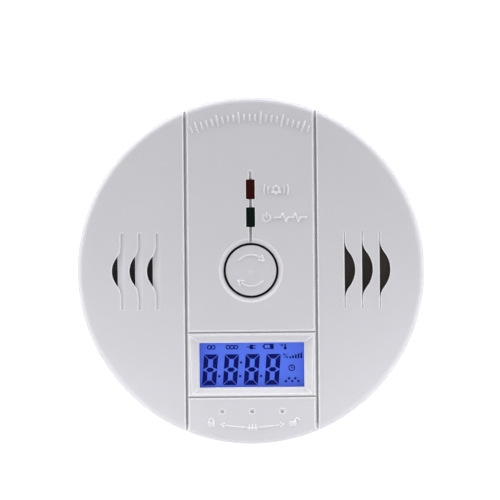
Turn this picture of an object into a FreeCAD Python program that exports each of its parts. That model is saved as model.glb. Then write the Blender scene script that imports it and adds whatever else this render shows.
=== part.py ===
"""Wall-mounted carbon monoxide detector, a FreeCAD macro in millimetres.

Every piece is drawn in the detector's own lying frame, with x to the right, y up the face and
z out of the wall, and its Placement then stands it up: the wall is the plane y = 0, the face
looks along -y and z is up. The origin is on the wall, between the two wall screws.
"""
import FreeCAD, Part
import math
import os
import re

import Sketcher

Vector = FreeCAD.Vector
Placement = FreeCAD.Placement
Rotation = FreeCAD.Rotation

STANDING = Placement(Vector(0, 0, 0), Rotation(Vector(1, 0, 0), 90))

SIZES = (
    # overall
    ("rim_radius", 50.0, "outer radius of the front cover"),
    ("total_depth", 38.0, "wall to the middle of the face"),
    ("dome_radius", 1280.45, "radius of the gently domed face"),
    ("dome_edge", 48.0, "radius where the dome meets the rounded rim"),
    ("dome_drop", 0.9, "how far the dome has dropped at its edge"),
    ("rim_round", 2.0, "radius of the rounded rim"),
    ("seam_height", 15.6, "wall to the joint between the two covers"),
    ("overlap", 0.2, "overlap where one feature grows out of another"),
    ("run_out", 1.0, "how far a cut runs past the surface that it opens"),
    # front cover
    ("cover_bore", 48.1, "inner radius of the front cover"),
    ("face_inside", 35.7, "wall to the inner side of the face"),
    ("button_bore", 7.8, "radius of the button's hole"),
    ("button_dish", 9.1, "outer radius of the dish round the button"),
    ("dish_depth", 0.9, "depth of that dish"),
    ("sleeve_radius", 9.6, "outer radius of the button's guide sleeve"),
    ("sleeve_end", 31.0, "wall to the end of that sleeve"),
    ("groove_at", 18.75, "centre line of the two upright grooves"),
    ("groove_width", 0.7, "width of the floor of an upright groove"),
    ("groove_depth", 0.8, "depth of an upright groove"),
    ("panel_bevel", 0.45, "bevel on the panel's side of a groove"),
    ("wing_bevel", 0.2, "bevel on the outer side of a groove"),
    ("sag_upright", 0.137, "dome drop at the upright grooves"),
    ("upper_groove", -17.7, "height of the level groove above the display"),
    ("sag_upper", 0.122, "dome drop there"),
    ("lower_groove", -36.2, "height of the level groove below the display"),
    ("sag_lower", 0.512, "dome drop there"),
    ("level_width", 0.4, "width of the floor of a level groove"),
    ("level_depth", 0.6, "depth of a level groove"),
    ("level_bevel", 0.3, "bevel along a level groove"),
    ("display_x", 0.0, "middle of the display, sideways"),
    ("display_y", -27.2, "middle of the display, height"),
    ("bezel_length", 35.4, "outer length of the sloping bezel"),
    ("bezel_height", 17.0, "outer height of the sloping bezel"),
    ("ledge_length", 31.2, "length of the flat ledge in the bezel"),
    ("ledge_height", 13.8, "height of the flat ledge in the bezel"),
    ("ledge_level", 36.25, "wall to that ledge"),
    ("window_length", 30.2, "length of the display opening"),
    ("window_height", 12.9, "height of the display opening"),
    ("channel_width", 0.9, "width of the groove that joins the lamps"),
    ("channel_top", 28.5, "upper end of that groove"),
    ("channel_floor", 37.3, "wall to the floor of that groove"),
    ("lamp_width", 2.6, "width of a lamp's opening"),
    ("lamp_height", 5.7, "height of a lamp's opening"),
    ("alarm_y", 23.25, "height of the red lamp"),
    ("operate_y", 15.25, "height of the green lamp"),
    ("groove_span", 4.6, "angle that an upright groove takes up about the dome's centre"),
    ("groove_clear", 1.5, "how far a groove's cutter stands off the face"),
    ("bezel_lift", 0.6, "what the bezel's mouth gains, from face level to the full depth"),
    ("seam_bevel", 0.3, "bevel along the front cover's edge"),
    ("face_root", 0.3, "how far bosses and posts run into the face"),
    ("board_pilot_depth", 6.0, "depth of a board screw's pilot hole"),
    ("dimple_y", -40.4, "height of the three dimples"),
    ("dimple_pitch", 8.6, "spacing of the three dimples"),
    ("dimple_radius", 0.8, "radius of the ball that forms a dimple"),
    ("dimple_lift", 0.25, "how far that ball's centre is off the face"),
    ("boss_circle", 43.2, "radius of the circle of the case screws"),
    ("boss_angle", 25.0, "angle of a case screw from the level line"),
    ("boss_radius", 3.0, "radius of a screw boss in the front cover"),
    ("boss_end", 12.7, "wall to the end of that boss"),
    ("post_x", 26.0, "place of a board post, sideways"),
    ("post_y", 27.0, "place of a board post, height"),
    ("post_radius", 2.6, "radius of a board post"),
    # vents
    ("vent_pitch", 5.05, "spacing of the vents"),
    ("sound_vent_x", 26.8, "straight edge of the first vent on the right"),
    ("sound_vent_half", 9.0, "half the height of an opening on the right"),
    ("sound_vent_bulge", 3.15, "width of an opening on the right"),
    ("sound_vent_crown", 8.0, "radius of its curved side"),
    ("gas_vent_x", -27.3, "line of the first vent on the left"),
    ("gas_vent_half", 7.5, "half the height of a vent's bulge on the left"),
    ("gas_vent_bulge", 2.6, "how far its curved side stands out"),
    ("gas_vent_crown", 6.3, "radius of its curved side"),
    ("gas_vent_lip", 0.9, "how far the lip covers the opening"),
    ("scoop_reach", 1.3, "how far the scoop runs beyond the line"),
    ("scoop_depth", 0.75, "depth of the scoop at the lip"),
    ("line_half", 11.0, "half the length of a vent's fine line"),
    ("line_width", 0.35, "width of that line"),
    ("line_depth", 0.4, "depth of that line"),
    # rear cover
    ("rear_radius", 49.4, "outer radius of the rear cover"),
    ("rear_edge", 2.7, "wall to the rear cover's edge and battery door"),
    ("rear_floor", 7.6, "wall to the rear cover's floor"),
    ("rear_inside", 9.4, "wall to the inner side of that floor"),
    ("rear_bevel", 0.8, "bevel along the rear edge"),
    ("skirt_bore", 47.2, "inner radius of the skirt round the bracket"),
    ("rear_bore", 46.8, "inner radius of the rear cover"),
    ("lip_radius", 48.0, "outer radius of the lip inside the front cover"),
    ("lip_end", 18.1, "wall to the end of that lip"),
    ("ring_bore", 38.7, "inner radius of the bayonet ring"),
    ("ring_radius", 40.5, "outer radius of the bayonet ring"),
    ("lug_radius", 43.8, "outer radius of the ring's lugs"),
    ("lug_top", 4.6, "wall to the inner side of those lugs"),
    ("lug_span", 14.0, "angle that a lug takes up"),
    ("lug_angle", 45.0, "angle of the first lug"),
    ("pad_length", 64.0, "length of the raised pad round the battery bay"),
    ("pad_height", 50.0, "height of that pad"),
    ("bay_length", 59.0, "inner length of the battery bay"),
    ("bay_height", 45.6, "inner height of the battery bay"),
    ("bay_ceiling", 20.0, "wall to the inner end of the bay"),
    ("bay_wall", 1.6, "wall thickness of the bay"),
    ("sidevent_low", 10.4, "wall to the near end of a side vent"),
    ("sidevent_high", 14.4, "wall to the far end of a side vent"),
    ("sidevent_span", 2.4, "angle that a side vent takes up"),
    ("sidevent_step", 5.0, "angle between side vents"),
    ("rear_boss_radius", 4.2, "radius of a screw boss in the rear cover"),
    ("rear_boss_top", 12.6, "wall to the inner end of that boss"),
    ("sink_radius", 2.9, "radius of a screw's counterbore"),
    ("sink_end", 10.4, "wall to the floor of that counterbore"),
    ("case_hole", 1.6, "radius of a case screw's clearance hole"),
    ("case_pilot", 1.35, "radius of a case screw's pilot hole"),
    ("pilot_end", 24.0, "wall to the end of that pilot hole"),
    ("thumb_notch", 12.0, "length of the thumb notch by the door's latch"),
    ("lug_root", 0.3, "how far a lug runs into its ring"),
    ("ledge_width", 1.2, "width of the ledges that the door rests on"),
    ("ledge_inset", 0.3, "how far a ledge's middle is inside the bay's wall"),
    ("ledge_run", 37.0, "length of those ledges"),
    ("ledge_y", -1.5, "height of their middle"),
    ("ledge_wall", 1.0, "thickness of those ledges"),
    ("notch_depth", 2.2, "depth of the thumb notch"),
    ("tail_slot_gap", 0.3, "what a solder tail's slot is wider than its plate"),
    ("tail_slot", 3.4, "length of that slot"),
    ("sidevent_reach", 8.0, "length of a side vent's cutter, outwards"),
    # battery door
    ("door_gap", 0.3, "gap round the battery door"),
    ("door_wall", 2.0, "thickness of the battery door"),
    ("hinge_y", 21.6, "height of the door's hinge line"),
    ("hinge_z", 3.7, "wall to the door's hinge line"),
    ("pin_radius", 0.6, "radius of the door's hinge pins"),
    ("pin_bore", 0.66, "radius of the holes that hold them"),
    ("pin_reach", 31.0, "middle of the door to a pin's end"),
    ("latch_width", 9.0, "width of the door's latch tongue"),
    ("latch_length", 10.0, "length of that tongue"),
    ("hook_inset", 0.6, "door's edge to the middle of the latch hook"),
    ("hook_wall", 1.2, "thickness of that hook"),
    ("hook_rise", 1.3, "how far that hook stands off the door"),
    ("grip_rise", 0.4, "how far the latch's grip ribs stand off it"),
    ("grip_pitch", 1.8, "spacing of those ribs"),
    ("grip_width", 0.8, "width of a grip rib"),
    ("grip_first", 2.4, "door's edge to the first grip rib"),
    ("latch_slit", 0.9, "width of the slits beside it"),
    # bracket
    ("bracket_radius", 48.5, "outer radius of the wall bracket"),
    ("bracket_bore", 38.0, "radius of the bracket's opening"),
    ("bracket_bevel", 0.5, "bevel along the bracket's wall edge"),
    ("catch_root", 0.4, "how far a catch runs into the collar"),
    ("ear_root", 1.5, "how far a screw ear runs into the plate"),
    ("bracket_plate", 2.0, "thickness of the bracket's plate"),
    ("collar_radius", 46.0, "outer radius of the bracket's collar"),
    ("collar_bore", 44.4, "inner radius of that collar"),
    ("collar_top", 6.9, "wall to the top of that collar"),
    ("catch_bore", 42.2, "inner radius of the bracket's catches"),
    ("catch_low", 4.9, "wall to the underside of a catch"),
    ("catch_span", 16.5, "angle that a catch takes up"),
    ("catch_angle", 44.25, "middle angle of the first catch"),
    ("stop_span", 1.6, "angle that a twist stop takes up"),
    ("locked_stop", 36.8, "middle angle of the stop at ON"),
    ("freed_stop", 69.6, "middle angle of the stop at OFF"),
    ("ear_width", 18.0, "width of a screw ear"),
    ("ear_inner", 27.5, "middle of the bracket to a screw ear's edge"),
    ("slot_at", 33.0, "middle of the bracket to a screw slot's middle"),
    ("slot_radius", 2.1, "half the width of a screw slot"),
    ("slot_length", 8.0, "length of a screw slot from end to end"),
    # button and switch
    ("button_radius", 7.3, "radius of the test button"),
    ("button_top", 37.75, "wall to the top of the button"),
    ("button_round", 0.45, "rounded edge of the button"),
    ("button_dome", 0.1, "how far the button's top has dropped at its edge"),
    ("button_hollow", 5.9, "radius of the hollow under the button"),
    ("button_crown", 36.2, "wall to the end of that hollow"),
    ("button_flange", 9.2, "radius of the flange that holds it in"),
    ("flange_top", 30.9, "wall to the outer side of that flange"),
    ("button_foot", 30.0, "wall to the button's foot"),
    ("stem_radius", 2.0, "radius of the button's stem"),
    ("switch_side", 6.2, "side of the push switch"),
    ("switch_top", 29.2, "wall to the top of the push switch"),
    ("switch_floor", 27.0, "wall to the bottom of its bore"),
    ("plunger_radius", 1.75, "radius of the switch's plunger"),
    ("plunger_bore", 1.85, "radius of the bore that it slides in"),
    ("plunger_foot", 27.6, "wall to the foot of the plunger"),
    # circuit board
    ("board_back", 25.0, "wall to the back of the circuit board"),
    ("board_front", 26.6, "wall to the front of the circuit board"),
    ("board_radius", 42.0, "radius of the circuit board"),
    ("board_notch", 3.8, "radius of a notch round a screw boss"),
    ("board_hole", 1.3, "radius of a board screw's hole"),
    ("board_pilot", 1.15, "radius of a board screw's pilot hole"),
    ("leg_hole", 0.45, "radius of a hole for a component's leg"),
    ("controller_side", 10.0, "side of the controller chip"),
    ("controller_wall", 1.6, "thickness of the controller chip"),
    ("controller_x", -17.5, "place of the controller chip, sideways"),
    ("controller_y", -7.5, "place of the controller chip, height"),
    ("driver_length", 5.0, "length of the driver chip"),
    ("driver_width", 4.0, "width of the driver chip"),
    ("driver_wall", 1.5, "thickness of the driver chip"),
    ("driver_y", -10.5, "place of the driver chip, height"),
    ("coil_x", 14.0, "place of the coil and the driver chip, sideways"),
    ("coil_y", 9.5, "place of the coil, height"),
    ("coil_rod_radius", 1.6, "radius of the coil's core"),
    ("coil_flange", 4.0, "radius of the core's flanges"),
    ("coil_flange_wall", 1.2, "thickness of a flange"),
    ("coil_turns_radius", 3.3, "radius of the coil's winding"),
    ("coil_height", 7.0, "height of the coil"),
    ("crystal_length", 8.0, "length of the crystal's can"),
    ("crystal_width", 3.2, "width of the crystal's can"),
    ("crystal_height", 2.6, "height of the crystal's can"),
    ("crystal_x", -17.0, "place of the crystal, sideways"),
    ("crystal_y", -15.8, "place of the crystal, height"),
    ("resistor_length", 2.0, "length of a chip resistor"),
    ("resistor_width", 1.25, "width of a chip resistor"),
    ("resistor_wall", 0.5, "thickness of a chip resistor"),
    # display
    ("lens_length", 34.6, "length of the clear window"),
    ("lens_height", 16.6, "height of the clear window"),
    ("lens_wall", 1.2, "thickness of the clear window"),
    ("glass_length", 34.5, "length of the display glass"),
    ("glass_height", 16.4, "height of the rear display glass"),
    ("glass_wall", 1.1, "thickness of one display glass"),
    ("front_glass_height", 15.0, "height of the front display glass"),
    ("front_glass_back", 33.35, "wall to the back of the front glass"),
    ("rear_glass_back", 32.2, "wall to the back of the rear glass"),
    ("backlight_back", 29.1, "wall to the back of the backlight"),
    ("backlight_wall", 3.0, "thickness of the backlight"),
    ("frame_length", 38.0, "outer length of the display frame"),
    ("frame_height", 19.2, "outer height of the display frame"),
    ("frame_front", 33.6, "wall to the front of the display frame"),
    ("tray_length", 35.0, "length of the tray in the display frame"),
    ("tray_height", 17.6, "height of the tray in the display frame"),
    ("tray_gap", 0.05, "gap behind the backlight"),
    ("tray_depth", 10.0, "length of the tray's cutter"),
    ("under_height", 1.4, "height of the hollow under the frame"),
    ("pin_slot", 29.0, "length of the slot for the display's pins"),
    ("pin_slot_width", 0.7, "width of that slot"),
    ("pin_slot_depth", 5.0, "depth of that slot"),
    ("pin_slot_off", 0.25, "glass edge to the middle of that slot"),
    ("display_pin_width", 0.5, "width of a display pin"),
    ("display_pin_wall", 0.3, "thickness of a display pin"),
    ("display_pin_pitch", 2.0, "spacing of the display pins"),
    # lamps
    ("lamp_gap", 0.1, "gap round a lamp in its opening"),
    ("lamp_top", 37.75, "wall to the top of the lamps"),
    ("lamp_foot", 29.2, "wall to the foot of the lamps"),
    ("lamp_flange", 1.4, "thickness of a lamp's flange"),
    ("flange_reach", 0.8, "what a lamp's flange is wider than its opening"),
    ("leg_pitch", 2.54, "spacing of a lamp's legs"),
    ("leg_radius", 0.3, "radius of a leg"),
    ("leg_end", 23.6, "wall to the trimmed end of a leg"),
    # sounder
    ("sounder_x", 33.7, "middle of the sounder, sideways"),
    ("sounder_radius", 12.4, "outer radius of the sounder"),
    ("sounder_wall", 1.2, "wall thickness of the sounder"),
    ("sounder_front", 35.4, "wall to the front of the sounder"),
    ("sounder_back", 28.6, "wall to the back of the sounder"),
    ("sounder_hole", 3.2, "radius of the sounder's sound hole"),
    ("rib_bore", 12.8, "inner radius of the rib round the sounder"),
    ("rib_radius", 13.8, "outer radius of that rib"),
    ("rib_end", 31.0, "wall to the end of that rib"),
    ("disc_back", 31.6, "wall to the back of the brass disc"),
    ("disc_wall", 0.3, "thickness of the brass disc"),
    ("ceramic_wall", 0.25, "thickness of the ceramic on the disc"),
    ("sounder_slack", 0.1, "gap round the disc and the retainer"),
    ("rim_gap", 0.5, "sounder's front to the top of the rim that holds the disc"),
    ("ceramic_radius", 7.2, "radius of the ceramic on the disc"),
    ("retainer_exit", 0.9, "radius of a lead's hole in the retainer"),
    ("lead_spread", 3.0, "middle of the sounder to a lead's hole, height"),
    ("lead_inset", 6.0, "middle of the sounder to a lead's hole, sideways"),
    # gas sensor
    ("sensor_x", -33.5, "middle of the gas sensor, sideways"),
    ("sensor_radius", 7.0, "radius of the gas sensor's can"),
    ("sensor_back", 27.3, "wall to the back of the can"),
    ("sensor_front", 32.9, "wall to the front of the can"),
    ("sensor_cap", 33.9, "wall to the front of its cap"),
    ("cap_step", 0.6, "what the cap's radius is less than the can's"),
    ("cap_hole_radius", 0.8, "radius of a hole in the cap"),
    ("cap_hole_circle", 3.6, "radius of the circle of those holes"),
    ("filter_width", 20.0, "width of the dust filter"),
    ("filter_height", 25.0, "height of the dust filter"),
    ("filter_shift", 0.3, "how far the filter's middle is outside the sensor's"),
    ("filter_back", 34.0, "wall to the back of the dust filter"),
    ("filter_front", 35.65, "wall to the front of the dust filter"),
    # batteries
    ("cell_radius", 7.1, "radius of a cell"),
    ("cell_length", 50.5, "length of a cell with its button"),
    ("cell_button", 1.5, "height of a cell's button"),
    ("cell_pitch", 14.9, "spacing of the cells"),
    ("cell_z", 12.6, "wall to the middle of the cells"),
    ("button_tip", 2.6, "radius of a cell's button"),
    ("plate_height", 12.6, "height of a contact plate, out of the wall"),
    ("plate_half", 5.6, "half the width of a contact plate beyond its cell's middle"),
    ("bump_radius", 2.2, "radius of the bump that meets a cell's button"),
    ("solder_tail", 3.0, "width of a terminal's solder tail"),
    ("plate_wall", 0.5, "thickness of a contact plate"),
    ("plate_bump", 0.5, "height of the bump that meets a cell's button"),
    ("spring_wire", 0.35, "radius of the contact springs' wire"),
    ("spring_radius", 3.0, "radius of a contact spring's coil"),
    ("spring_pitch", 1.4, "pitch of a contact spring"),
    ("tail_top", 23.0, "wall to the top of a terminal's solder tail"),
    ("sounder_lead", 0.45, "radius of the sounder's leads"),
    ("head_height", 1.8, "height of a case screw's head"),
    ("head_radius", 2.6, "radius of a case screw's head"),
    ("case_shank", 1.3, "radius of a case screw's shank"),
    ("case_tip", 22.0, "wall to a case screw's tip"),
    ("board_head_height", 1.4, "height of a board screw's head"),
    ("board_head", 2.2, "radius of a board screw's head"),
    ("board_shank", 1.1, "radius of a board screw's shank"),
    ("board_reach", 5.0, "how far a board screw reaches into its post"),
    ("cross_length", 2.6, "length of a screw head's cross"),
    ("cross_width", 0.6, "width of a screw head's cross"),
    ("cross_depth", 0.8, "depth of a screw head's cross"),
    ("lead_radius", 0.6, "radius of the battery leads"),
)

doc = FreeCAD.newDocument("carbon_monoxide_detector")
sheet = doc.addObject("Spreadsheet::Sheet", "sizes")
for row, (alias, value, meaning) in enumerate(SIZES, start=1):
    sheet.set(f"A{row}", alias)
    sheet.set(f"B{row}", str(value))
    sheet.set(f"C{row}", meaning)
    sheet.setAlias(f"B{row}", alias)
doc.recompute()

ALIAS = re.compile(r"\b(" + "|".join(sorted((s[0] for s in SIZES), key=len, reverse=True)) + r")\b")
pieces = []


def bound(text):
    """An expression on the sheet's aliases, as the document spells it."""
    return ALIAS.sub(r"sizes.\1", str(text))


def number(text):
    """The value that such an expression has now."""
    return float(sheet.evalExpression(bound(text)))


def bind(thing, **properties):
    """Binds properties of a thing to expressions; two underscores in a name stand for a dot."""
    for name, text in properties.items():
        thing.setExpression(name.replace("__", "."), bound(text))
    return thing


def keep(thing, label):
    """Stands a finished piece up and puts it on the list of pieces to write."""
    if thing.TypeId in ("Part::Box", "Part::Cylinder"):
        thing = grouped(f"{label}_piece", thing)
    thing.Label = label
    thing.Placement = STANDING
    pieces.append(thing)
    return thing


# ---------------------------------------------------------------- sketches and features


def new_body(name):
    return doc.addObject("PartDesign::Body", name)


def new_sketch(body, name, plane="XY_Plane", level="0", turn="0"):
    """A sketch on one of the body's planes, raised by level and turned about the z axis."""
    sketch = body.newObject("Sketcher::SketchObject", name)
    origin_plane = next(f for f in body.Origin.OriginFeatures if f.Role == plane)
    sketch.AttachmentSupport = [(origin_plane, "")]
    sketch.MapMode = "FlatFace"
    axis = Vector(0, 1, 0) if plane == "XZ_Plane" else Vector(0, 0, 1)
    sketch.AttachmentOffset = Placement(Vector(0, 0, 0), Rotation(axis, number(turn)))
    lifted = "AttachmentOffset__Base__z" if plane == "XY_Plane" else "AttachmentOffset__Base__y"
    bind(sketch, **{lifted: level})
    return sketch


def fix_point(sketch, geometry, end, x_text, y_text):
    """Pins one end of a line or arc to a place given by two expressions."""
    for kind, text in (("DistanceX", x_text), ("DistanceY", y_text)):
        index = sketch.addConstraint(
            Sketcher.Constraint(kind, -1, 1, geometry, end, number(text))
        )
        sketch.setExpression(f"Constraints[{index}]", bound(text))


def outline(sketch, corners):
    """A closed outline through corners (x, y); a third value makes the side that leaves the
    corner an arc of that radius, and its sign says which way the arc bulges."""
    points = [Vector(number(c[0]), number(c[1]), 0) for c in corners]
    first = len(sketch.Geometry)
    starts = []
    for index, corner in enumerate(corners):
        here, there = points[index], points[(index + 1) % len(points)]
        if len(corner) == 3:
            radius = number(corner[2])
            chord = there - here
            rise = abs(radius) - math.sqrt(radius ** 2 - (chord.Length / 2) ** 2)
            side = Vector(-chord.y, chord.x, 0).normalize() * math.copysign(rise, radius)
            side_index = sketch.addGeometry(Part.Arc(here, (here + there) / 2 + side, there))
            arc = sketch.Geometry[side_index]
            starts.append(1 if (arc.StartPoint - here).Length < 1e-6 else 2)
            radius_index = sketch.addConstraint(
                Sketcher.Constraint("Radius", side_index, abs(radius))
            )
            sketch.setExpression(f"Constraints[{radius_index}]", f"abs({bound(corner[2])})")
        else:
            sketch.addGeometry(Part.LineSegment(here, there))
            starts.append(1)
    for index, corner in enumerate(corners):
        before = (index - 1) % len(corners)
        sketch.addConstraint(
            Sketcher.Constraint(
                "Coincident", first + before, 3 - starts[before], first + index, starts[index]
            )
        )
        fix_point(sketch, first + index, starts[index], corner[0], corner[1])


def rectangle(sketch, x, y, length, height):
    left, right = f"{x} - ({length}) / 2", f"{x} + ({length}) / 2"
    low, high = f"{y} - ({height}) / 2", f"{y} + ({height}) / 2"
    outline(sketch, [(left, low), (right, low), (right, high), (left, high)])


def circles(sketch, places, radius):
    for x, y in places:
        index = sketch.addGeometry(
            Part.Circle(Vector(number(x), number(y), 0), Vector(0, 0, 1), number(radius))
        )
        fix_point(sketch, index, 3, x, y)
        size = sketch.addConstraint(Sketcher.Constraint("Radius", index, number(radius)))
        sketch.setExpression(f"Constraints[{size}]", bound(radius))


def pad(body, name, sketch, length):
    return bind(_feature(body, "Pad", name, sketch), Length=length)


def pocket(body, name, sketch, length, both_ways=False):
    """Cuts from the sketch towards the wall, or equally to both sides of it."""
    cut = bind(_feature(body, "Pocket", name, sketch), Length=length)
    cut.Midplane = both_ways
    return cut


def spun(body, kind, name, sketch, axis="V_Axis", angle=None):
    """A Revolution or Groove about an axis of its sketch, right round or centred on it."""
    feature = _feature(body, kind, name, sketch)
    feature.ReferenceAxis = (sketch, [axis])
    feature.Angle = 360.0
    if angle is not None:
        feature.Midplane = True
        bind(feature, Angle=angle)
    return feature


def _feature(body, kind, name, sketch):
    feature = body.newObject(f"PartDesign::{kind}", name)
    feature.Profile = sketch
    return feature


def round_the_axis(body, name, features, count, angle="360"):
    """Repeats features about the body's z axis."""
    pattern = body.newObject("PartDesign::PolarPattern", name)
    pattern.Originals = features
    axis = next(f for f in body.Origin.OriginFeatures if f.Role == "Z_Axis")
    pattern.Axis = (axis, [""])
    pattern.Occurrences = count
    bind(pattern, Angle=angle)
    body.Tip = pattern
    return pattern


def case_screw_places():
    """The four case screws, on one circle, each the same angle from the level line."""
    across, up = "boss_circle * cos(boss_angle)", "boss_circle * sin(boss_angle)"
    return [(f"{sx} * {across}", f"{sy} * {up}") for sx in (1, -1) for sy in (1, -1)]


def board_post_places():
    return [(f"{sx} * post_x", f"{sy} * post_y") for sx in (1, -1) for sy in (1, -1)]


# ---------------------------------------------------------------- primitives


def block(name, length, width, height, x="0", y="0", z="0"):
    """A box centred on (x, y) that stands on z."""
    return bind(
        doc.addObject("Part::Box", name),
        Length=length, Width=width, Height=height,
        Placement__Base__x=f"({x}) - ({length}) / 2",
        Placement__Base__y=f"({y}) - ({width}) / 2",
        Placement__Base__z=z,
    )


def rod(name, radius, z_low, z_high, x="0", y="0"):
    """A cylinder along z."""
    return bind(
        doc.addObject("Part::Cylinder", name),
        Radius=radius, Height=f"({z_high}) - ({z_low})",
        Placement__Base__x=x, Placement__Base__y=y, Placement__Base__z=z_low,
    )


def level_rod(name, radius, x_low, x_high, y, z):
    """A cylinder along x."""
    cylinder = doc.addObject("Part::Cylinder", name)
    cylinder.Placement = Placement(Vector(0, 0, 0), Rotation(Vector(0, 1, 0), 90))
    return bind(
        cylinder,
        Radius=radius, Height=f"({x_high}) - ({x_low})",
        Placement__Base__x=x_low, Placement__Base__y=y, Placement__Base__z=z,
    )


def joined(name, *things):
    fuse = doc.addObject("Part::MultiFuse", name)
    fuse.Shapes = list(things)
    return fuse


def without(name, base, *tools):
    cut = doc.addObject("Part::Cut", name)
    cut.Base = base
    cut.Tool = tools[0] if len(tools) == 1 else joined(f"{name}_tools", *tools)
    return cut


def grouped(name, *things):
    """Separate solids that share one node."""
    group = doc.addObject("Part::Compound", name)
    group.Links = list(things)
    return group


def made(name, shape):
    """A feature whose shape comes straight from Part's own functions."""
    feature = doc.addObject("Part::Feature", name)
    feature.Shape = shape
    return feature


# ---------------------------------------------------------------- wall bracket


def wall_bracket():
    body = new_body("bracket_body")
    profile = new_sketch(body, "bracket_profile", "XZ_Plane")
    outline(profile, [
        ("bracket_bore", "0"), ("bracket_radius - bracket_bevel", "0"),
        ("bracket_radius", "bracket_bevel"),
        ("bracket_radius", "bracket_plate"), ("collar_radius", "bracket_plate"),
        ("collar_radius", "collar_top"), ("collar_bore", "collar_top"),
        ("collar_bore", "bracket_plate"), ("bracket_bore", "bracket_plate"),
    ])
    spun(body, "Revolution", "bracket_ring", profile)

    catch = new_sketch(body, "catch_section", "XZ_Plane", turn="catch_angle")
    rectangle(catch, "(catch_bore + collar_bore + catch_root) / 2", "(catch_low + collar_top) / 2",
              "collar_bore + catch_root - catch_bore", "collar_top - catch_low")
    repeated = [spun(body, "Revolution", "catch", catch, angle="catch_span")]
    for name in ("locked_stop", "freed_stop"):
        stop = new_sketch(body, f"{name}_section", "XZ_Plane", turn=name)
        rectangle(stop, "(catch_bore + collar_bore + catch_root) / 2",
                  "(bracket_plate + catch_low) / 2",
                  "collar_bore + catch_root - catch_bore", "catch_low - bracket_plate + 2 * overlap")
        repeated.append(spun(body, "Revolution", f"{name}_rib", stop, angle="stop_span"))
    round_the_axis(body, "catches", repeated, 4)

    ears = new_sketch(body, "ear_outline")
    for side in (1, -1):
        rectangle(ears, "0", f"{side} * (ear_inner + bracket_bore + ear_root) / 2",
                  "ear_width", "bracket_bore + ear_root - ear_inner")
    body.Tip = pad(body, "ears", ears, "bracket_plate")

    slots = new_sketch(body, "slot_outline", level="bracket_plate")
    straight = "slot_length / 2 - slot_radius"
    for side in (1, -1):
        low, high = f"{side} * slot_at - ({straight})", f"{side} * slot_at + ({straight})"
        outline(slots, [
            ("slot_radius", low), ("slot_radius", high, "1.0001 * slot_radius"),
            ("-slot_radius", high), ("-slot_radius", low, "1.0001 * slot_radius"),
        ])
    body.Tip = pocket(body, "slots", slots, "bracket_plate")
    return keep(body, "mounting_bracket")


# ---------------------------------------------------------------- rear cover


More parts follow.
